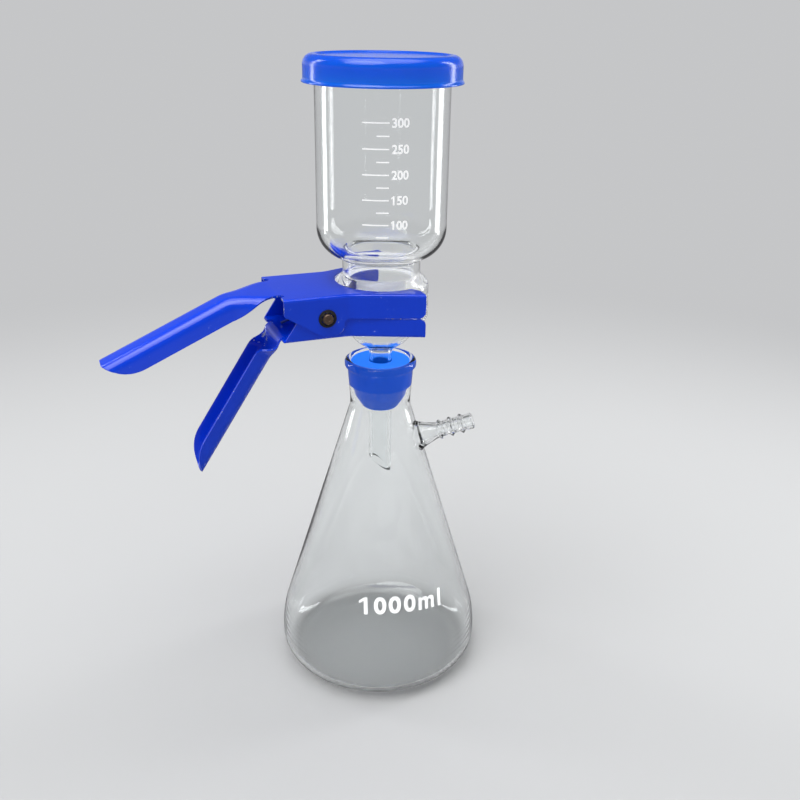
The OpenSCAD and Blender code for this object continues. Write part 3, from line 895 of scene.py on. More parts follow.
class Jaw:
    """One jaw of folded sheet, in x, y and the height away from the glass joint.

    It takes half the width over its walls, the radius of the plate's opening, the plate's height, the wall's
    outline from the rear, 1 or -1 for a plate above or below the joint, the x at which the handle leaves the
    plate, and the radius of the notch beside it. Half of it is worked out, and mesh() mirrors that.
    """

    def __init__(self, half, hole, out, side, up, root_x, notch):
        clamp = bpy.context.scene.unit_clamp
        self.half, self.hole, self.out, self.side, self.up = half, hole, out, side, up
        self.root_x, self.notch = root_x, notch
        self.fold, self.tip = clamp.fold_radius / MM, clamp.tip_half_width / MM
        # stations along the wall: straight, a soft bend in eight parts, and straight to the fork
        soft, slope = BEND_SOFT, (self.tip - half) / (FORK_X - BEND_X)
        self.stations = [REAR_X] + [BEND_X + soft * k / 4 for k in range(-4, 5)] + [FORK_X]
        self.slopes = [0.0] + [slope * k / 8 for k in range(9)] + [slope]
        self.widths = [half, half] + [half + slope * soft * (k / 8) ** 2 for k in range(1, 9)] + [self.tip]
        self.faces, self.points = [], []

    def wall_y(self, x):
        """Half width over the walls at x."""
        last = len(self.stations) - 1
        i = next((i for i in range(1, last) if x <= self.stations[i]), last)
        x0, x1 = self.stations[i - 1 : i + 1]
        y0, y1 = self.widths[i - 1 : i + 1]
        return y0 + (y1 - y0) * (x - x0) / (x1 - x0)

    def add(self, p):
        """Keeps a point and gives its number."""
        self.points.append(p)
        return len(self.points) - 1

    def strip(self, first, second):
        """Faces between two rows of as many points."""
        for k in range(len(first) - 1):
            self.faces.append((first[k], first[k + 1], second[k + 1], second[k]))

    def plate_edge(self):
        """The inner edge of half the plate: round the opening and out to the fork's tip."""
        hole = self.hole
        turns = [math.radians(3 * k) for k in range(37)]
        arc = [Vector((-hole * math.cos(a), hole * math.sin(a))) for a in turns]
        corners = [(4, hole - 6.5, 0), (FORK_X, hole + 3.5, 6), (FORK_X, self.tip, 0)]
        line = [p for p in rounded(corners, step=8.0, closed=False)
                if p.length > hole + 0.05 and p.x < FORK_X + 0.01 and p.y < hole + 5.7]
        return [p for p in arc if p.x < line[0].x - 0.6] + line

    def build(self):
        """Half of the jaw: the fold between plate and wall, the wall, and the plate."""
        columns = self.folded()
        self.wall(columns)
        self.plate(columns)

    def folded(self):
        """The fold along the wall's top; a column of points at each station, from the plate down."""
        out, fold = self.out, self.fold
        slant = (self.side[1][0] - self.side[0][0]) / (out - self.side[1][1])
        columns = []
        for i, (x, y) in enumerate(zip(self.stations, self.widths)):
            deep = fold * math.hypot(1.0, self.slopes[i])
            lead = 0.0 if i else slant
            column = []
            for q in (math.pi / 2 * k / 6 for k in range(6, -1, -1)):
                across, down = fold * (1 - math.sin(q)), deep * (1 - math.cos(q))
                column.append(self.add((x + lead * across, y - down, out - across)))
            columns.append(column)
        for one, other in zip(columns, columns[1:]):
            self.strip(one, other)
        return columns

    def wall(self, columns):
        """The wall below the fold, in one panel for each stretch between two stations."""
        bends = self.stations[1:-1]
        low = [p for p in rounded(self.side, step=9.0, closed=False) if p.y < self.out - self.fold]
        for x in bends:
            i = next(i for i in range(len(low) - 1) if low[i].x < x - 1e-6 and low[i + 1].x >= x - 1e-6)
            if abs(low[i + 1].x - x) > 1e-6:
                low.insert(i + 1, low[i].lerp(low[i + 1], (x - low[i].x) / (low[i + 1].x - low[i].x)))
        foot = [self.add((p.x, self.wall_y(p.x), p.y)) for p in low]
        cuts = [0] + [next(i for i, p in enumerate(low) if abs(p.x - x) < 1e-5 and i) for x in bends]
        cuts.append(len(low) - 1)
        for i, (first, last) in enumerate(zip(cuts, cuts[1:])):
            self.faces.append((columns[i][-1], columns[i + 1][-1], *reversed(foot[first : last + 1])))

    def plate(self, columns):
        """The plate: its rear edge with the notch, the fold, the fork's tip and the opening."""
        notch = self.notch
        rear = [(self.root_x, ROOT_HALF * k / 12) for k in range(13)]
        for a in (math.pi * k / 8 for k in range(1, 9)):
            rear.append((self.root_x + notch * math.sin(a), ROOT_HALF + notch - notch * math.cos(a)))
        if self.root_x > REAR_X:
            rear.append((REAR_X, rear[-1][1]))
        ends = [self.add((*p, self.out)) for p in rear]
        edge = [self.add((*p, self.out)) for p in self.plate_edge()]
        self.faces.append((*ends, *(column[0] for column in columns), *reversed(edge)))

    def handle(self, path, length, width, crown, bend, lean, root):
        """A strip that carries on from the plate's rear edge, its flanks folding down as it goes.

        The folded strip has a nearly flat crown, flanks that lean so many degrees, and a bend between.
        The root is the length over which it takes that form.
        """
        lengths = path_lengths(path)
        rows, narrow = 64, ROOT_HALF
        previous = None
        for k in range(rows + 1):
            # the rows crowd towards the rounded end
            s = length * (0.6 * k / rows + 0.4 * math.sin(math.pi / 2 * k / rows))
            here, after = point_at(path, lengths, s), point_at(path, lengths, s + 0.8)
            way = (after - point_at(path, lengths, max(0.0, s - 0.8))).normalized()
            up = Vector((way.y, -way.x))
            reach = max(0.0, (s - length + TONGUE) / TONGUE)
            formed = eased(s / root)
            w = (narrow + (width / 2 - narrow) * formed) * math.sqrt(1 - (0.965 * reach) ** 2)
            flat = narrow + (crown - narrow) * eased((s - 1) / (root + 2))
            steep = math.radians(lean) * eased(s / (root - 4))
            row = []
            for u in (j / 12 * w for j in range(13)):
                a = min(max(0.0, u - flat) / bend, steep)
                rest = max(0.0, u - flat - a * bend)
                across = min(u, flat) + bend * math.sin(a) + rest * math.cos(a)
                sag = 0.0006 * u * u * formed + bend * (1 - math.cos(a)) + rest * math.sin(a)
                p = here - up * sag
                row.append(self.add((p.x, across, p.y)))
            if previous:
                self.strip(previous, row)
            previous = row

    def mesh(self, name):
        """Both sides of the jaw as one smooth sheet, thick, drilled, and with its cut edges eased."""
        bm = bmesh.new()
        places = [(x * MM, y * MM, (JOINT_Z + self.up * h) * MM) for x, y, h in self.points]
        for side in (1, -1):
            made = [bm.verts.new((x, side * y, z)) for x, y, z in places]
            for f in self.faces:
                bm.faces.new([made[k] for k in f])
        bmesh.ops.remove_doubles(bm, verts=bm.verts, dist=0.02 * MM)
        bmesh.ops.recalc_face_normals(bm, faces=bm.faces)
        if max(bm.faces, key=lambda f: f.calc_area()).normal.z * self.up < 0:
            bmesh.ops.reverse_faces(bm, faces=bm.faces)
        bmesh.ops.inset_region(
            bm, faces=bm.faces, thickness=0.2 * MM, use_boundary=True, use_even_offset=True)
        for face in bm.faces:
            face.smooth = True
        rim = [v.is_boundary for v in bm.verts]
        sheet = bpy.data.meshes.new(name)
        bm.to_mesh(sheet)
        bm.free()
        worn = sheet.attributes.new("rim", "FLOAT", "POINT")
        worn.data.foreach_set("value", [float(v) for v in rim])
        obj = bpy.data.objects.new(name + "_sheet", sheet)
        bit = bpy.data.objects.new(name + "_drill", drill_mesh(name + "_drill"))
        for each in (obj, bit):
            bpy.context.scene.collection.objects.link(each)
        clamp = bpy.context.scene.unit_clamp
        thick = obj.modifiers.new("thickness", "SOLIDIFY")
        thick.thickness, thick.offset, thick.use_even_offset = clamp.sheet, -1.0, True
        hole = obj.modifiers.new("pin hole", "BOOLEAN")
        hole.object, hole.operation, hole.solver = bit, "DIFFERENCE", "EXACT"
        cut = obj.modifiers.new("edges", "BEVEL")
        cut.width, cut.segments, cut.limit_method = clamp.edge_round, 2, "ANGLE"
        cut.angle_limit = math.radians(55)
        obj.modifiers.new("normals", "WEIGHTED_NORMAL").keep_sharp = True
        mesh = applied(obj)
        bpy.data.objects.remove(bit)
        return mesh


def on_pin(y, quarter_turns):
    """Takes what is turned round the Z axis at the origin onto the pin's axis, at that y."""
    place = Matrix.Translation(Vector((PIN_X, y, PIN_Z)) * MM)
    return place @ Matrix.Rotation(math.radians(90 * quarter_turns), 4, "X")


def drill_mesh(name):
    """A rod on the pin's axis that cuts a running fit for the pin."""
    bm = bmesh.new()
    radius = (PIN_R + 0.06) * MM
    bmesh.ops.create_cone(bm, cap_ends=True, segments=48, radius1=radius, radius2=radius, depth=70 * MM)
    bmesh.ops.transform(bm, verts=bm.verts, matrix=on_pin(0, 1))
    mesh = bpy.data.meshes.new(name)
    bm.to_mesh(mesh)
    bm.free()
    return mesh


def dress_jaw(jaw, node, name, body):
    """The jaw's finished piece, in place of its packed node."""
    paint = [finish("painted_steel", painted_steel)]
    dress(jaw.mesh(node), name, body, paint, [node], 0)


def build_upper_jaw():
    """The jaw that stays with the glass, its plate above the joint and its walls folded down."""
    out, wall, under, heel = UPPER_PLATE, 26.0, -2, -10.8
    side = [
        (REAR_X, out, 0), (REAR_X, 2.5, 1.5), (-44.8, heel, 6), (-31.5, heel, 5), (-31.5, under, 3),
        (FORK_X, under, 4), (FORK_X, out, 0),
    ]
    jaw = Jaw(wall, 27.52, out, side, 1, REAR_X, bpy.context.scene.unit_clamp.notch_radius / MM)
    jaw.build()
    knee = Vector((-93, 10.2))
    end = knee - heading(24.2) * 79
    path = rounded([(REAR_X, out, 0), (*knee, 22), (*end, 0)], step=2.5, closed=False)
    jaw.handle(path, length=104.0, width=38.0, crown=4.0, bend=6.5, lean=76.0, root=24.0)
    dress_jaw(jaw, "clamp_upper_jaw", "upper_jaw", "stand")


def build_lower_jaw():
    """The jaw that swings, nested in the upper one, its plate below the joint and its walls folded up."""
    out, wall, under, heel, root_x = LOWER_PLATE, 24.5, 2.3, -8.2, -63.0
    side = [
        (REAR_X, out, 0), (PIN_X - 17, 2.1, 4), (PIN_X - 8.9, heel, 7.1), (PIN_X + 8.9, heel, 7.1),
        (PIN_X + 10.9, under, 3), (FORK_X, under, 3.5), (FORK_X, out, 0),
    ]
    jaw = Jaw(wall, 26.62, out, side, -1, root_x, 0.7)
    jaw.build()
    knee = Vector((-66.5, 22.5))
    end = knee + heading(180 - 57) * 85
    path = rounded([(root_x, out, 0), (-66.3, out, 3.3), (*knee, 14), (*end, 0)], step=5.0, closed=False)
    jaw.handle(path, length=96.8, width=34.0, crown=3.5, bend=5.5, lean=78.0, root=15.0)
    dress_jaw(jaw, "clamp_lower_jaw", "lower_jaw", "lower_jaw")


def build_pin():
    """The pin with its domed head behind, and in front a groove for the ring."""
    head, groove = 4.6, 2.72
    outline = rounded(
        [
            (0, 27.8, 0), (head, 27.8, 1.7), (head, 26.1, 0.25), (PIN_R, 26.1, 0), (PIN_R, -27.35, 0.2),
            (groove, -27.5, 0.2), (groove, -27.7, 0.2), (PIN_R, -27.85, 0.2), (PIN_R, -28.6, 0.7),
            (1.1, -28.6, 0.3), (0.8, -28.35, 0.3), (0, -28.3, 0),
        ],
        step=9.0, closed=False,
    )
    bm = turned(outline, 48)
    bmesh.ops.transform(bm, matrix=on_pin(0, -1), verts=bm.verts)
    as_piece(bm, "pivot_pin", "stand", [finish("bronze", bronze)], ["pivot_pin"])


def prong_group():
    """Sprung teeth of the retaining ring, set round its hole."""
    group, t, given = node_group("ring_prongs", {
        "Count": "Int", "Radius": "Float", "Tooth": "Vector", "Material": "Material"})
    circle = t.node("GeometryNodeMeshCircle", sockets={
        "Vertices": given["Count"], "Radius": given["Radius"]})
    tooth = t.node("GeometryNodeMeshCube", sockets={"Size": given["Tooth"]})
    index = t.number(t.node("GeometryNodeInputIndex"))
    turn = index * (2 * math.pi) / Num(t, given["Count"])
    rotation = t.node("ShaderNodeCombineXYZ", sockets={"Y": 0.5, "Z": turn})
    placed = t.node("GeometryNodeInstanceOnPoints", sockets={
        "Points": circle.outputs[0], "Instance": tooth.outputs[0], "Rotation": rotation.outputs[0]})
    close_group(t, placed.outputs[0], given["Material"])
    return group


def build_ring():
    """The dished retaining ring with its teeth, in front of the upper jaw's wall."""
    black = finish("black_oxide", black_oxide)
    outline = rounded(
        [
            (3.75, 0.42, 0.1), (4.35, 0.08, 0.3), (4.9, 0.08, 0.1), (5.2, 0.12, 0.1), (5.2, 0.62, 0.22),
            (4.5, 0.72, 0.3), (3.75, 1.05, 0.15),
        ],
        step=14.0,
    )
    bm = turned(outline, 64)
    teeth = node_made("prongs", prong_group(), {
        "Count": 8, "Radius": 3.62 * MM, "Tooth": (1.05 * MM, 1.9 * MM, 0.36 * MM), "Material": black})
    prongs = bmesh.new()
    prongs.from_mesh(teeth)
    bmesh.ops.translate(prongs, verts=prongs.verts, vec=(0, 0, 1.02 * MM))
    bmesh.ops.bevel(prongs, geom=prongs.edges[:], offset=0.08 * MM, segments=1, affect="EDGES")
    prongs.to_mesh(teeth)
    prongs.free()
    bm.from_mesh(teeth)
    bmesh.ops.transform(bm, matrix=on_pin(-26.0, 1), verts=bm.verts)
    as_piece(bm, "retaining_ring", "stand", [black], ["retaining_ring"])


def spring_group():
    """Round wire along a path."""
    group, t, given = node_group("wire_along_path", {
        "Wire radius": "Float", "Sides": "Int", "Material": "Material"}, source=True)
    curve = t.node("GeometryNodeMeshToCurve", sockets={"Mesh": given["Geometry"]})
    section = t.node("GeometryNodeCurvePrimitiveCircle", sockets={
        "Resolution": given["Sides"], "Radius": given["Wire radius"]})
    wire = t.node("GeometryNodeCurveToMesh", sockets={
        "Curve": curve.outputs[0], "Profile Curve": section.outputs[0], "Fill Caps": True})
    smooth = t.node("GeometryNodeSetShadeSmooth", sockets={"Geometry": wire.outputs[0]})
    close_group(t, smooth.outputs[0], given["Material"])
    return group


def build_spring():
    """The coil round the pin; each leg leaves it straight and lies along the inside of a plate."""
    sizes = bpy.context.scene.unit_clamp
    r = sizes.wire / MM / 2
    coil = PIN_R + 0.5 + r
    pitch = 2 * r + 0.25
    reach, off_sheet, settle = 18.5, 0.3, 0.7

    def leg_end(sign):
        """Where a leg ends, seen along the pin: 1 for the upper jaw's, -1 for the lower's."""
        plate = UPPER_PLATE if sign > 0 else LOWER_PLATE
        return Vector((-reach, sign * (plate - sizes.sheet / MM - r - off_sheet) + settle))

    def touch(sign):
        """The angle round the coil at which that leg leaves it."""
        e = leg_end(sign)
        return math.atan2(e.y, e.x) - sign * math.acos(coil / e.length)

    sweep = 2 * math.pi * sizes.coil_turns + touch(1) - touch(-1)
    half = sweep / (4 * math.pi) * pitch
    n = math.ceil(math.degrees(sweep) / 12)
    points = [(leg_end(1).x, -half, leg_end(1).y)]
    for k in range(n + 1):
        a = touch(1) - sweep * k / n
        points.append((coil * math.cos(a), -half + 2 * half * k / n, coil * math.sin(a)))
    points.append((leg_end(-1).x, half, leg_end(-1).y))
    path = bpy.data.meshes.new("spring_path")
    places = [((x + PIN_X) * MM, y * MM, (z + PIN_Z) * MM) for x, y, z in points]
    path.from_pydata(places, [(k, k + 1) for k in range(len(points) - 1)], [])
    steel = finish("spring_wire", spring_wire)
    given = {"Wire radius": r * MM, "Sides": 14, "Material": steel}
    mesh = node_made("torsion_spring", spring_group(), given, path)
    piece = dress(mesh, "torsion_spring", None, [steel], ["torsion_spring"], 50.0)
    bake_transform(piece)


# ---------------------------------------------------------------- printed marks

SCALE_TOP = 352.7  # height of the scale's first line
LONG_SWEEP, SHORT_SWEEP = math.radians(21.9), math.radians(10.2)
SCALE_END, NUMERALS_START, MARK_MIDDLE = (math.radians(FRONT + a) for a in (5.6, 7.7, 14.9))
STRIP = 0.8  # width of the strips that printed shapes are cut into, so that they follow the glass


def scale_group():
    """Fired-on lines round a cup: a long one and a short one in turn, from the top down."""
    group, t, given = node_group("scale_lines", {
        "Count": "Int", "Step": "Float", "Radius": "Float", "Line width": "Float", "Depth": "Float",
        "Top": "Vector", "Right end": "Float", "Long sweep": "Float", "Short sweep": "Float",
        "Material": "Material"})
    down = t.node("ShaderNodeCombineXYZ", sockets={"Z": 0.0 - Num(t, given["Step"])})
    line = t.node("GeometryNodeMeshLine", sockets={
        "Count": given["Count"], "Start Location": given["Top"], "Offset": down.outputs[0]})
    section = t.node("GeometryNodeCurvePrimitiveQuadrilateral", sockets={
        "Width": given["Depth"], "Height": given["Line width"]})
    kinds = t.node("GeometryNodeGeometryToInstance")
    for sweep in ("Short sweep", "Long sweep"):
        arc = t.node("GeometryNodeCurveArc", sockets={
            "Resolution": 16, "Radius": given["Radius"],
            "Start Angle": Num(t, given["Right end"]) - Num(t, given[sweep]), "Sweep Angle": given[sweep]})
        bar = t.node("GeometryNodeCurveToMesh", sockets={
            "Curve": arc.outputs["Curve"], "Profile Curve": section.outputs[0], "Fill Caps": True})
        t.node_tree.links.new(bar.outputs[0], kinds.inputs[0])
    kind = t.number(t.node("GeometryNodeInputIndex")) % 2
    lines = t.node("GeometryNodeInstanceOnPoints", sockets={
        "Points": line.outputs[0], "Instance": kinds.outputs[0], "Pick Instance": True,
        "Instance Index": kind})
    close_group(t, lines.outputs[0], given["Material"])
    return group


def build_scale():
    """The lines of the cup's scale."""
    sizes = bpy.context.scene.unit_print
    enamel = finish("white_enamel", white_enamel)
    mesh = node_made("scale_lines", scale_group(), {
        "Count": sizes.lines, "Step": sizes.step, "Radius": (CUP_R + 0.03) * MM,
        "Line width": sizes.line_width, "Depth": 0.05 * MM,
        "Top": (0.0, 0.0, SCALE_TOP * MM), "Right end": SCALE_END,
        "Long sweep": LONG_SWEEP, "Short sweep": SHORT_SWEEP, "Material": enamel})
    dress(mesh, "cup_scale_lines", "stand", [enamel], (), 30.0)


def flat_solid(curve):
    """The thin solid that a filled flat curve makes, in millimetres."""
    curve.extrude = 0.02
    obj = bpy.data.objects.new(curve.name, curve)
    bpy.context.scene.collection.objects.link(obj)
    mesh = applied(obj)
    bm = bmesh.new()
    bm.from_mesh(mesh)
    bpy.data.meshes.remove(mesh)
    bmesh.ops.remove_doubles(bm, verts=bm.verts, dist=1e-5)
    return bm


def letters(text, height, width, bold=0.0):
    """Flat lettering with its left end at x = 0 and its foot at y = 0, in millimetres."""
    curve = bpy.data.curves.new("lettering", "FONT")
    curve.body, curve.size, curve.resolution_u, curve.offset = text, 10.0, 5, bold
    bm = flat_solid(curve)
    xs = [v.co.x for v in bm.verts]
    ys = [v.co.y for v in bm.verts]
    left, low = min(xs), min(ys)
    sx, sy = width / (max(xs) - left), height / (max(ys) - low)
    for v in bm.verts:
        v.co.x, v.co.y = (v.co.x - left) * sx, (v.co.y - low) * sy
    return bm


def drawn(outlines):
    """A flat shape within closed outlines; an outline inside another is a hole."""
    curve = bpy.data.curves.new("drawing", "CURVE")
    curve.dimensions, curve.fill_mode = "2D", "BOTH"
    for points in outlines:
        spline = curve.splines.new("POLY")
        spline.points.add(len(points) - 1)
        spline.points.foreach_set("co", [c for x, y in points for c in (x, y, 0.0, 1.0)])
        spline.use_cyclic_u = True
    return flat_solid(curve)


def wrapped(whole, bm, place):
    """Adds a flat solid to the printed mesh, cut into narrow strips and laid on the glass by place."""
    across = [v.co.x for v in bm.verts]
    for k in range(1, math.ceil((max(across) - min(across)) / STRIP)):
        bmesh.ops.bisect_plane(
            bm, geom=bm.verts[:] + bm.edges[:] + bm.faces[:],
            plane_co=(min(across) + k * STRIP, 0, 0), plane_no=(1, 0, 0))
    for v in bm.verts:
        v.co = place(*v.co) * MM
    scrap = bpy.data.meshes.new("scrap")
    bm.to_mesh(scrap)
    bm.free()
    whole.from_mesh(scrap)
    bpy.data.meshes.remove(scrap)


def printed(whole, name):
    """The finished piece of printed marks."""
    as_piece(whole, name, "stand", [finish("white_enamel", white_enamel)], (), 30.0)


def build_numerals():
    """The volumes beside the long lines; a leading 1 is drawn, without a foot."""
    sizes = bpy.context.scene.unit_print
    tall, step = sizes.numeral_height / MM, sizes.step / MM
    lift, bold = 0.05, 0.2
    whole = bmesh.new()
    for k, text in enumerate(("300", "250", "200", "150", "100")):
        foot = SCALE_TOP - 2 * k * step - tall / 2

        def place(x, y, z, start=0.0):
            """The spot on the cup, that far right of the numerals' left end and above their foot."""
            a = NUMERALS_START + (x + start) / CUP_R
            r = CUP_R + lift + z
            return Vector((r * math.cos(a), r * math.sin(a), foot + y))

        if text[0] == "1":
            wrapped(whole, drawn([one(1.7, tall, 0.85)]), place)
            wrapped(whole, letters(text[1:], tall, tall * 1.3, bold), lambda *at: place(*at, start=3.0))
        else:
            wrapped(whole, letters(text, tall, tall * 1.94, bold), place)
    printed(whole, "cup_numerals")


def one(width, height, stroke):
    """A 1 with a slanted flag and no foot."""
    stem = width - stroke
    return [(stem, 0), (width, 0), (width, height), (stem + stroke * 0.2, height), (0, height * 0.8),
            (0, height * 0.64), (stem, height * 0.8)]


def oval(width, height, inset):
    """A squarish oval, set in from its box on all sides."""
    points = []
    for k in range(40):
        c, s = math.cos(2 * math.pi * k / 40), math.sin(2 * math.pi * k / 40)
        points.append((width / 2 + (width / 2 - inset) * math.copysign(abs(c) ** 0.88, c),
                       height / 2 + (height / 2 - inset) * math.copysign(abs(s) ** 0.88, s)))
    return points


def small_m(w, h, s):
    """An m of stems s wide, drawn with round shoulders."""
    mid, over, under = w / 2, h + 0.15, h - 1.75
    return rounded(
        [
            (0, 0, 0), (0, h, 0), (s * 0.92, h, 0), (s, h - 1.0, 0), (s + 1.3, over, 1.2),
            (mid + 0.3, over, 1.4), (mid + 1.0, h - 1.1, 0.2), (mid + 2.3, over, 1.2), (w, over, 2.0),
            (w, 0, 0), (w - s, 0, 0),
            (w - s, under, 1.1), (mid + s / 2, under, 1.0), (mid + s / 2, 0, 0), (mid - s / 2, 0, 0),
            (mid - s / 2, under, 1.1), (s, under, 1.0), (s, 0, 0),
        ],
        step=20.0, guard=9.0,
    )


def build_flask_mark():
    """The flask's volume, wrapped on its cone as on the flat sheet that the cone unrolls into."""
    sizes = bpy.context.scene.unit_print
    tall, bold = sizes.mark_height / MM, sizes.mark_stroke / MM
    whole = bmesh.new()
    apex = NECK_Z + NECK_R / math.tan(LEAN)
    base = (apex - 60.4) / math.cos(LEAN)
    turn = Matrix.Rotation(math.radians(-2.7), 2)

    def zero(width):
        """A 0 as tall as the mark."""
        return [oval(width, tall, 0), oval(width, tall, bold)]

    bar = [(0, 0), (bold, 0), (bold, tall * 1.04), (0, tall * 1.04)]
    signs = (
        (-26.4, [one(5.4, tall, bold)]), (-17.0, zero(7.6)), (-7.8, zero(7.7)), (1.9, zero(7.7)),
        (11.8, [small_m(11.6, tall * 0.73, bold * 0.93)]), (26.7, [bar]),
    )
    for left, outlines in signs:

        def place(x, y, z):
            """The spot on the cone for one in the flat drawing."""
            across, up = turn @ Vector((x + left, y))
            slant = math.hypot(base - up, across)
            a = math.atan2(across, base - up) / math.sin(LEAN) + MARK_MIDDLE
            r = slant * math.sin(LEAN) + (0.035 + z) / math.cos(LEAN)
            return Vector((r * math.cos(a), r * math.sin(a), apex - slant * math.cos(LEAN)))

        wrapped(whole, drawn(outlines), place)
    printed(whole, "flask_mark")


# ---------------------------------------------------------------- stage

# the camera: how it is turned in front of the model, where it stands there, and how far round it goes
PITCH, YAW, ROLL = math.radians(23.203), math.radians(-1.333), math.radians(0.997)
EYE = Vector((0.0, -531.7, 409.7))
SWING = Matrix.Rotation(math.radians(-20.5), 3, "Z")
# upright lamps that draw the long streaks on the glass: name, place and size in metres, and watts
STRIP_LAMPS = (
    ("strip_left", (-0.717, 0.767, 0.5), (0.12, 1.15), 3.0),
    ("strip_right", (1.04, 0.11, 0.5), (0.2, 1.15), 4.2),
)


def shown_object(name, data):
    """An object of the stage, in the scene."""
    made = bpy.data.objects.new(name, data)
    bpy.context.scene.collection.objects.link(made)
    return made


def set_camera(stage):
    """The camera, looking down at the scale's side."""
    ahead = Vector((-math.sin(YAW) * math.cos(PITCH), math.cos(YAW) * math.cos(PITCH), -math.sin(PITCH)))
    level = Vector((math.cos(YAW), math.sin(YAW), 0.0))
    above = level.cross(ahead)
    right = level * math.cos(ROLL) + above * math.sin(ROLL)
    above = above * math.cos(ROLL) - level * math.sin(ROLL)
    camera = shown_object("camera", bpy.data.cameras.new("camera"))
    camera.data.lens, camera.data.sensor_width = stage.lens, 36.0
    camera.data.clip_start, camera.data.clip_end = 0.01, 60.0
    turn = SWING @ Matrix((right, above, -ahead)).transposed()
    camera.matrix_world = Matrix.Translation(SWING @ EYE * MM) @ turn.to_4x4()
    bpy.context.scene.camera = camera


def lay_floor():
    """A wide round floor, just under the flask."""
    bm = bmesh.new()
    angles = around(96)
    rings = [ring(bm, r, -0.15, angles) for r in (0.0, 200.0, 600.0, 2000.0, 9000.0)]
    for one_ring, other in zip(rings, rings[1:]):
        skin(bm, one_ring, other)
    for face in bm.faces:
        if face.normal.z < 0:
            face.normal_flip()
    mesh = bpy.data.meshes.new("floor")
    bm.to_mesh(mesh)
    bm.free()
    mesh.materials.append(finish("pale_floor", pale_floor))
    floor = shown_object("floor", mesh)


def hang_lamps(stage):
    """A soft key from above, and the strips."""
    key = shown_object("soft_key", bpy.data.lights.new("soft_key", "SUN"))
    key.data.energy, key.data.angle = stage.key_strength, math.radians(44)
    key.rotation_euler = (math.radians(29), 0.0, math.radians(-62))
    target = Vector((0, 0, 0.2))
    for name, spot, size, power in STRIP_LAMPS:
        lamp = shown_object(name, bpy.data.lights.new(name, "AREA"))
        lamp.data.shape, lamp.data.size, lamp.data.size_y = "RECTANGLE", *size
        lamp.data.energy = power
        lamp.location = spot
        lamp.rotation_euler = (target - Vector(spot)).to_track_quat("-Z", "Y").to_euler()


def surround(stage):
    """A room that is pale where it is seen, with a darker crown above that gives the glass its edges."""
    world = bpy.data.worlds.new("studio")
    world.use_nodes = True
    bpy.context.scene.world = world
    t = Tree(world.node_tree)
    way = t.node("ShaderNodeTexCoord").outputs["Generated"]
    height = t.number(t.node("ShaderNodeSeparateXYZ", sockets={0: way}), 2)
    pale = tuple(stage.background)
    room = t.mix(height.ramp(0.03, 0.32), pale, tuple(stage.crown))
    lit = t.mix(height.ramp(0.8, 0.92), room, (stage.softbox,) * 3)
    seen = t.number(t.node("ShaderNodeLightPath"), "Is Camera Ray")
    glow = t.node("ShaderNodeBackground", sockets={"Color": t.mix(seen, lit, pale)})
    t.node("ShaderNodeOutputWorld", sockets={"Surface": glow.outputs[0]})


def build_stage():
    """Camera, floor, lamps and surroundings."""
    stage = bpy.context.scene.unit_stage
    bpy.context.scene.view_settings.view_transform = "Standard"
    set_camera(stage)
    lay_floor()
    hang_lamps(stage)
    surround(stage)


# ---------------------------------------------------------------- add-on


def colour_property(name, description, default):
    """A colour that a user can change."""
    return FloatVectorProperty(name=name, description=description, default=default, min=0.0, max=1.0, size=3,
                               subtype="COLOR")


def length_property(name, description, millimetres):
    """A length that a user can change; it is held in metres, as Blender's lengths are."""
    return FloatProperty(name=name, description=description, default=millimetres * MM, min=0.0, precision=5,
                         unit="LENGTH")


class UnitGlass(bpy.types.PropertyGroup):
    """Sizes of the flask's side arm"""

    arm_diameter: length_property("Hose tube", "Outside diameter of the side arm", 9.5)
    arm_bore: length_property("Arm bore", "Bore of the side arm", 6.0)
    ridge_pitch: length_property("Ridge spacing", "Spacing of the hose ridges", 6.9)
    ridge_height: length_property("Ridge height", "Height of a hose ridge", 1.4)


class UnitClamp(bpy.types.PropertyGroup):
    """Sizes of the clamp's sheet steel and its spring"""

    sheet: length_property("Sheet", "Thickness of the steel sheet", 1.2)
    fold_radius: length_property("Fold", "Outside radius of the folds", 1.8)
    tip_half_width: length_property("Fork half width", "Half width over the fork's tips", 40.5)
    notch_radius: length_property("Notch", "Relief notch beside the handle's root", 2.4)
    edge_round: length_property("Edge", "Rounding of the painted edges", 0.3)
    wire: length_property("Spring wire", "Diameter of the spring's wire", 1.6)
    coil_turns: IntProperty(name="Spring turns", description="Whole turns of the coil", default=6, min=1)


class UnitPrint(bpy.types.PropertyGroup):
    """Sizes of the printed scale and marks"""

    lines: IntProperty(name="Lines", description="Lines of the cup's scale", default=10, min=1)
    step: length_property("Step", "Height between two lines of the scale", 6.64)
    line_width: length_property("Line width", "Width of a printed line", 0.62)
    numeral_height: length_property("Numerals", "Height of the scale's numerals", 4.8)
    mark_height: length_property("Flask mark", "Height of the flask's volume mark", 10.8)
    mark_stroke: length_property("Mark stroke", "Stroke of the flask's volume mark", 2.35)


class UnitFinish(bpy.types.PropertyGroup):
    """Colours of the pieces"""

    glass_tint: colour_property("Glass", "Tint of the glass", (0.98, 0.992, 0.992))
    stopper_blue: colour_property("Stopper", "Silicone of the stopper", (0.0, 0.13, 0.95))
    lid_blue: colour_property("Lid", "Plastic of the lid", (0.0, 0.15, 0.95))
    paint_blue: colour_property("Clamp", "Paint of the clamp", (0.0, 0.055, 0.8))


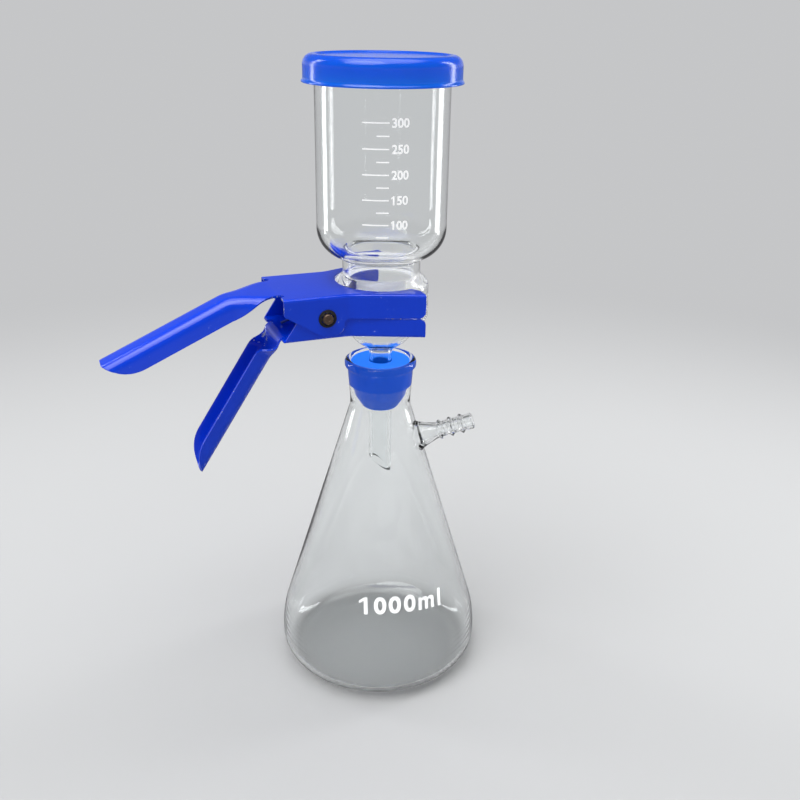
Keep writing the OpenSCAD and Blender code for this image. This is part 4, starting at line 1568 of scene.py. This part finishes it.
class UnitStage(bpy.types.PropertyGroup):
    """Camera, lights and colours of the stage"""

    lens: FloatProperty(name="Lens", description="Focal length of the camera", default=41.7, unit="CAMERA")
    key_strength: FloatProperty(name="Key", description="Strength of the soft key light", default=1.4)
    softbox: FloatProperty(name="Softbox", description="Brightness of the soft light overhead", default=2.9)
    fade_start: length_property("Fade start", "Distance at which the floor starts to fade", 300.0)
    fade_end: length_property("Fade end", "Distance from which it is all background", 950.0)
    floor_colour: colour_property("Floor", "Colour of the floor", (0.5, 0.505, 0.51))
    background: colour_property("Background", "Colour of the surroundings", (0.56, 0.565, 0.575))
    crown: colour_property("Crown", "Colour of the room above the horizon", (0.15, 0.155, 0.16))
    mirrored_floor: colour_property("Mirrored floor", "The floor as mirrored", (0.24, 0.24, 0.25))


def piece_operator(label, summary, *makers):
    """An operator class that makes one piece or a group of like pieces."""

    def execute(self, context):
        for maker in makers:
            maker()
        return {"FINISHED"}

    word = label.lower().replace(" ", "_")
    return type("UNIT_OT_" + word, (bpy.types.Operator,), {
        "__doc__": summary, "bl_idname": "unit." + word, "bl_label": label, "execute": execute})


OPERATORS = (
    piece_operator("Stage", "Floor, lamps, surroundings and camera", build_stage),
    piece_operator("Flask", "The conical flask with its side arm", build_flask),
    piece_operator("Stopper", "The silicone stopper in the flask's neck", build_stopper),
    piece_operator("Filter base", "The stemmed base and its sintered disc", build_filter_base, build_disc),
    piece_operator("Funnel cup", "The graduated cup", build_cup),
    piece_operator("Lid", "The push-on lid", build_lid),
    piece_operator("Clamp", "The two painted jaws", build_upper_jaw, build_lower_jaw),
    piece_operator("Pivot", "The pin, its ring and the spring", build_pin, build_ring, build_spring),
    piece_operator("Marks", "The scale and the volumes", build_scale, build_numerals, build_flask_mark),
)


class UNIT_PT_panel(bpy.types.Panel):
    """Lists the pieces of the unit"""

    bl_label = "Filtration unit"
    bl_idname = "UNIT_PT_panel"
    bl_space_type = "VIEW_3D"
    bl_region_type = "UI"
    bl_category = "Filtration"

    def draw(self, context):
        for operator in OPERATORS:
            self.layout.operator(operator.bl_idname)


GROUPS = {
    "unit_glass": UnitGlass,
    "unit_clamp": UnitClamp,
    "unit_print": UnitPrint,
    "unit_finish": UnitFinish,
    "unit_stage": UnitStage,
}


def register():
    """Adds the classes, and the property groups to the scene."""
    for cls in (*GROUPS.values(), *OPERATORS, UNIT_PT_panel):
        bpy.utils.register_class(cls)
    for name, cls in GROUPS.items():
        setattr(bpy.types.Scene, name, PointerProperty(type=cls))


def unregister():
    """Takes away what register added."""
    for name in GROUPS:
        delattr(bpy.types.Scene, name)
    for cls in (UNIT_PT_panel, *reversed(OPERATORS), *reversed(GROUPS.values())):
        bpy.utils.unregister_class(cls)


def main():
    """Builds the unit, piece by piece, and writes down its size."""
    register()
    for operator in OPERATORS:
        getattr(bpy.ops.unit, operator.bl_idname.split(".")[1])()


if __name__ == "__main__":
    main()
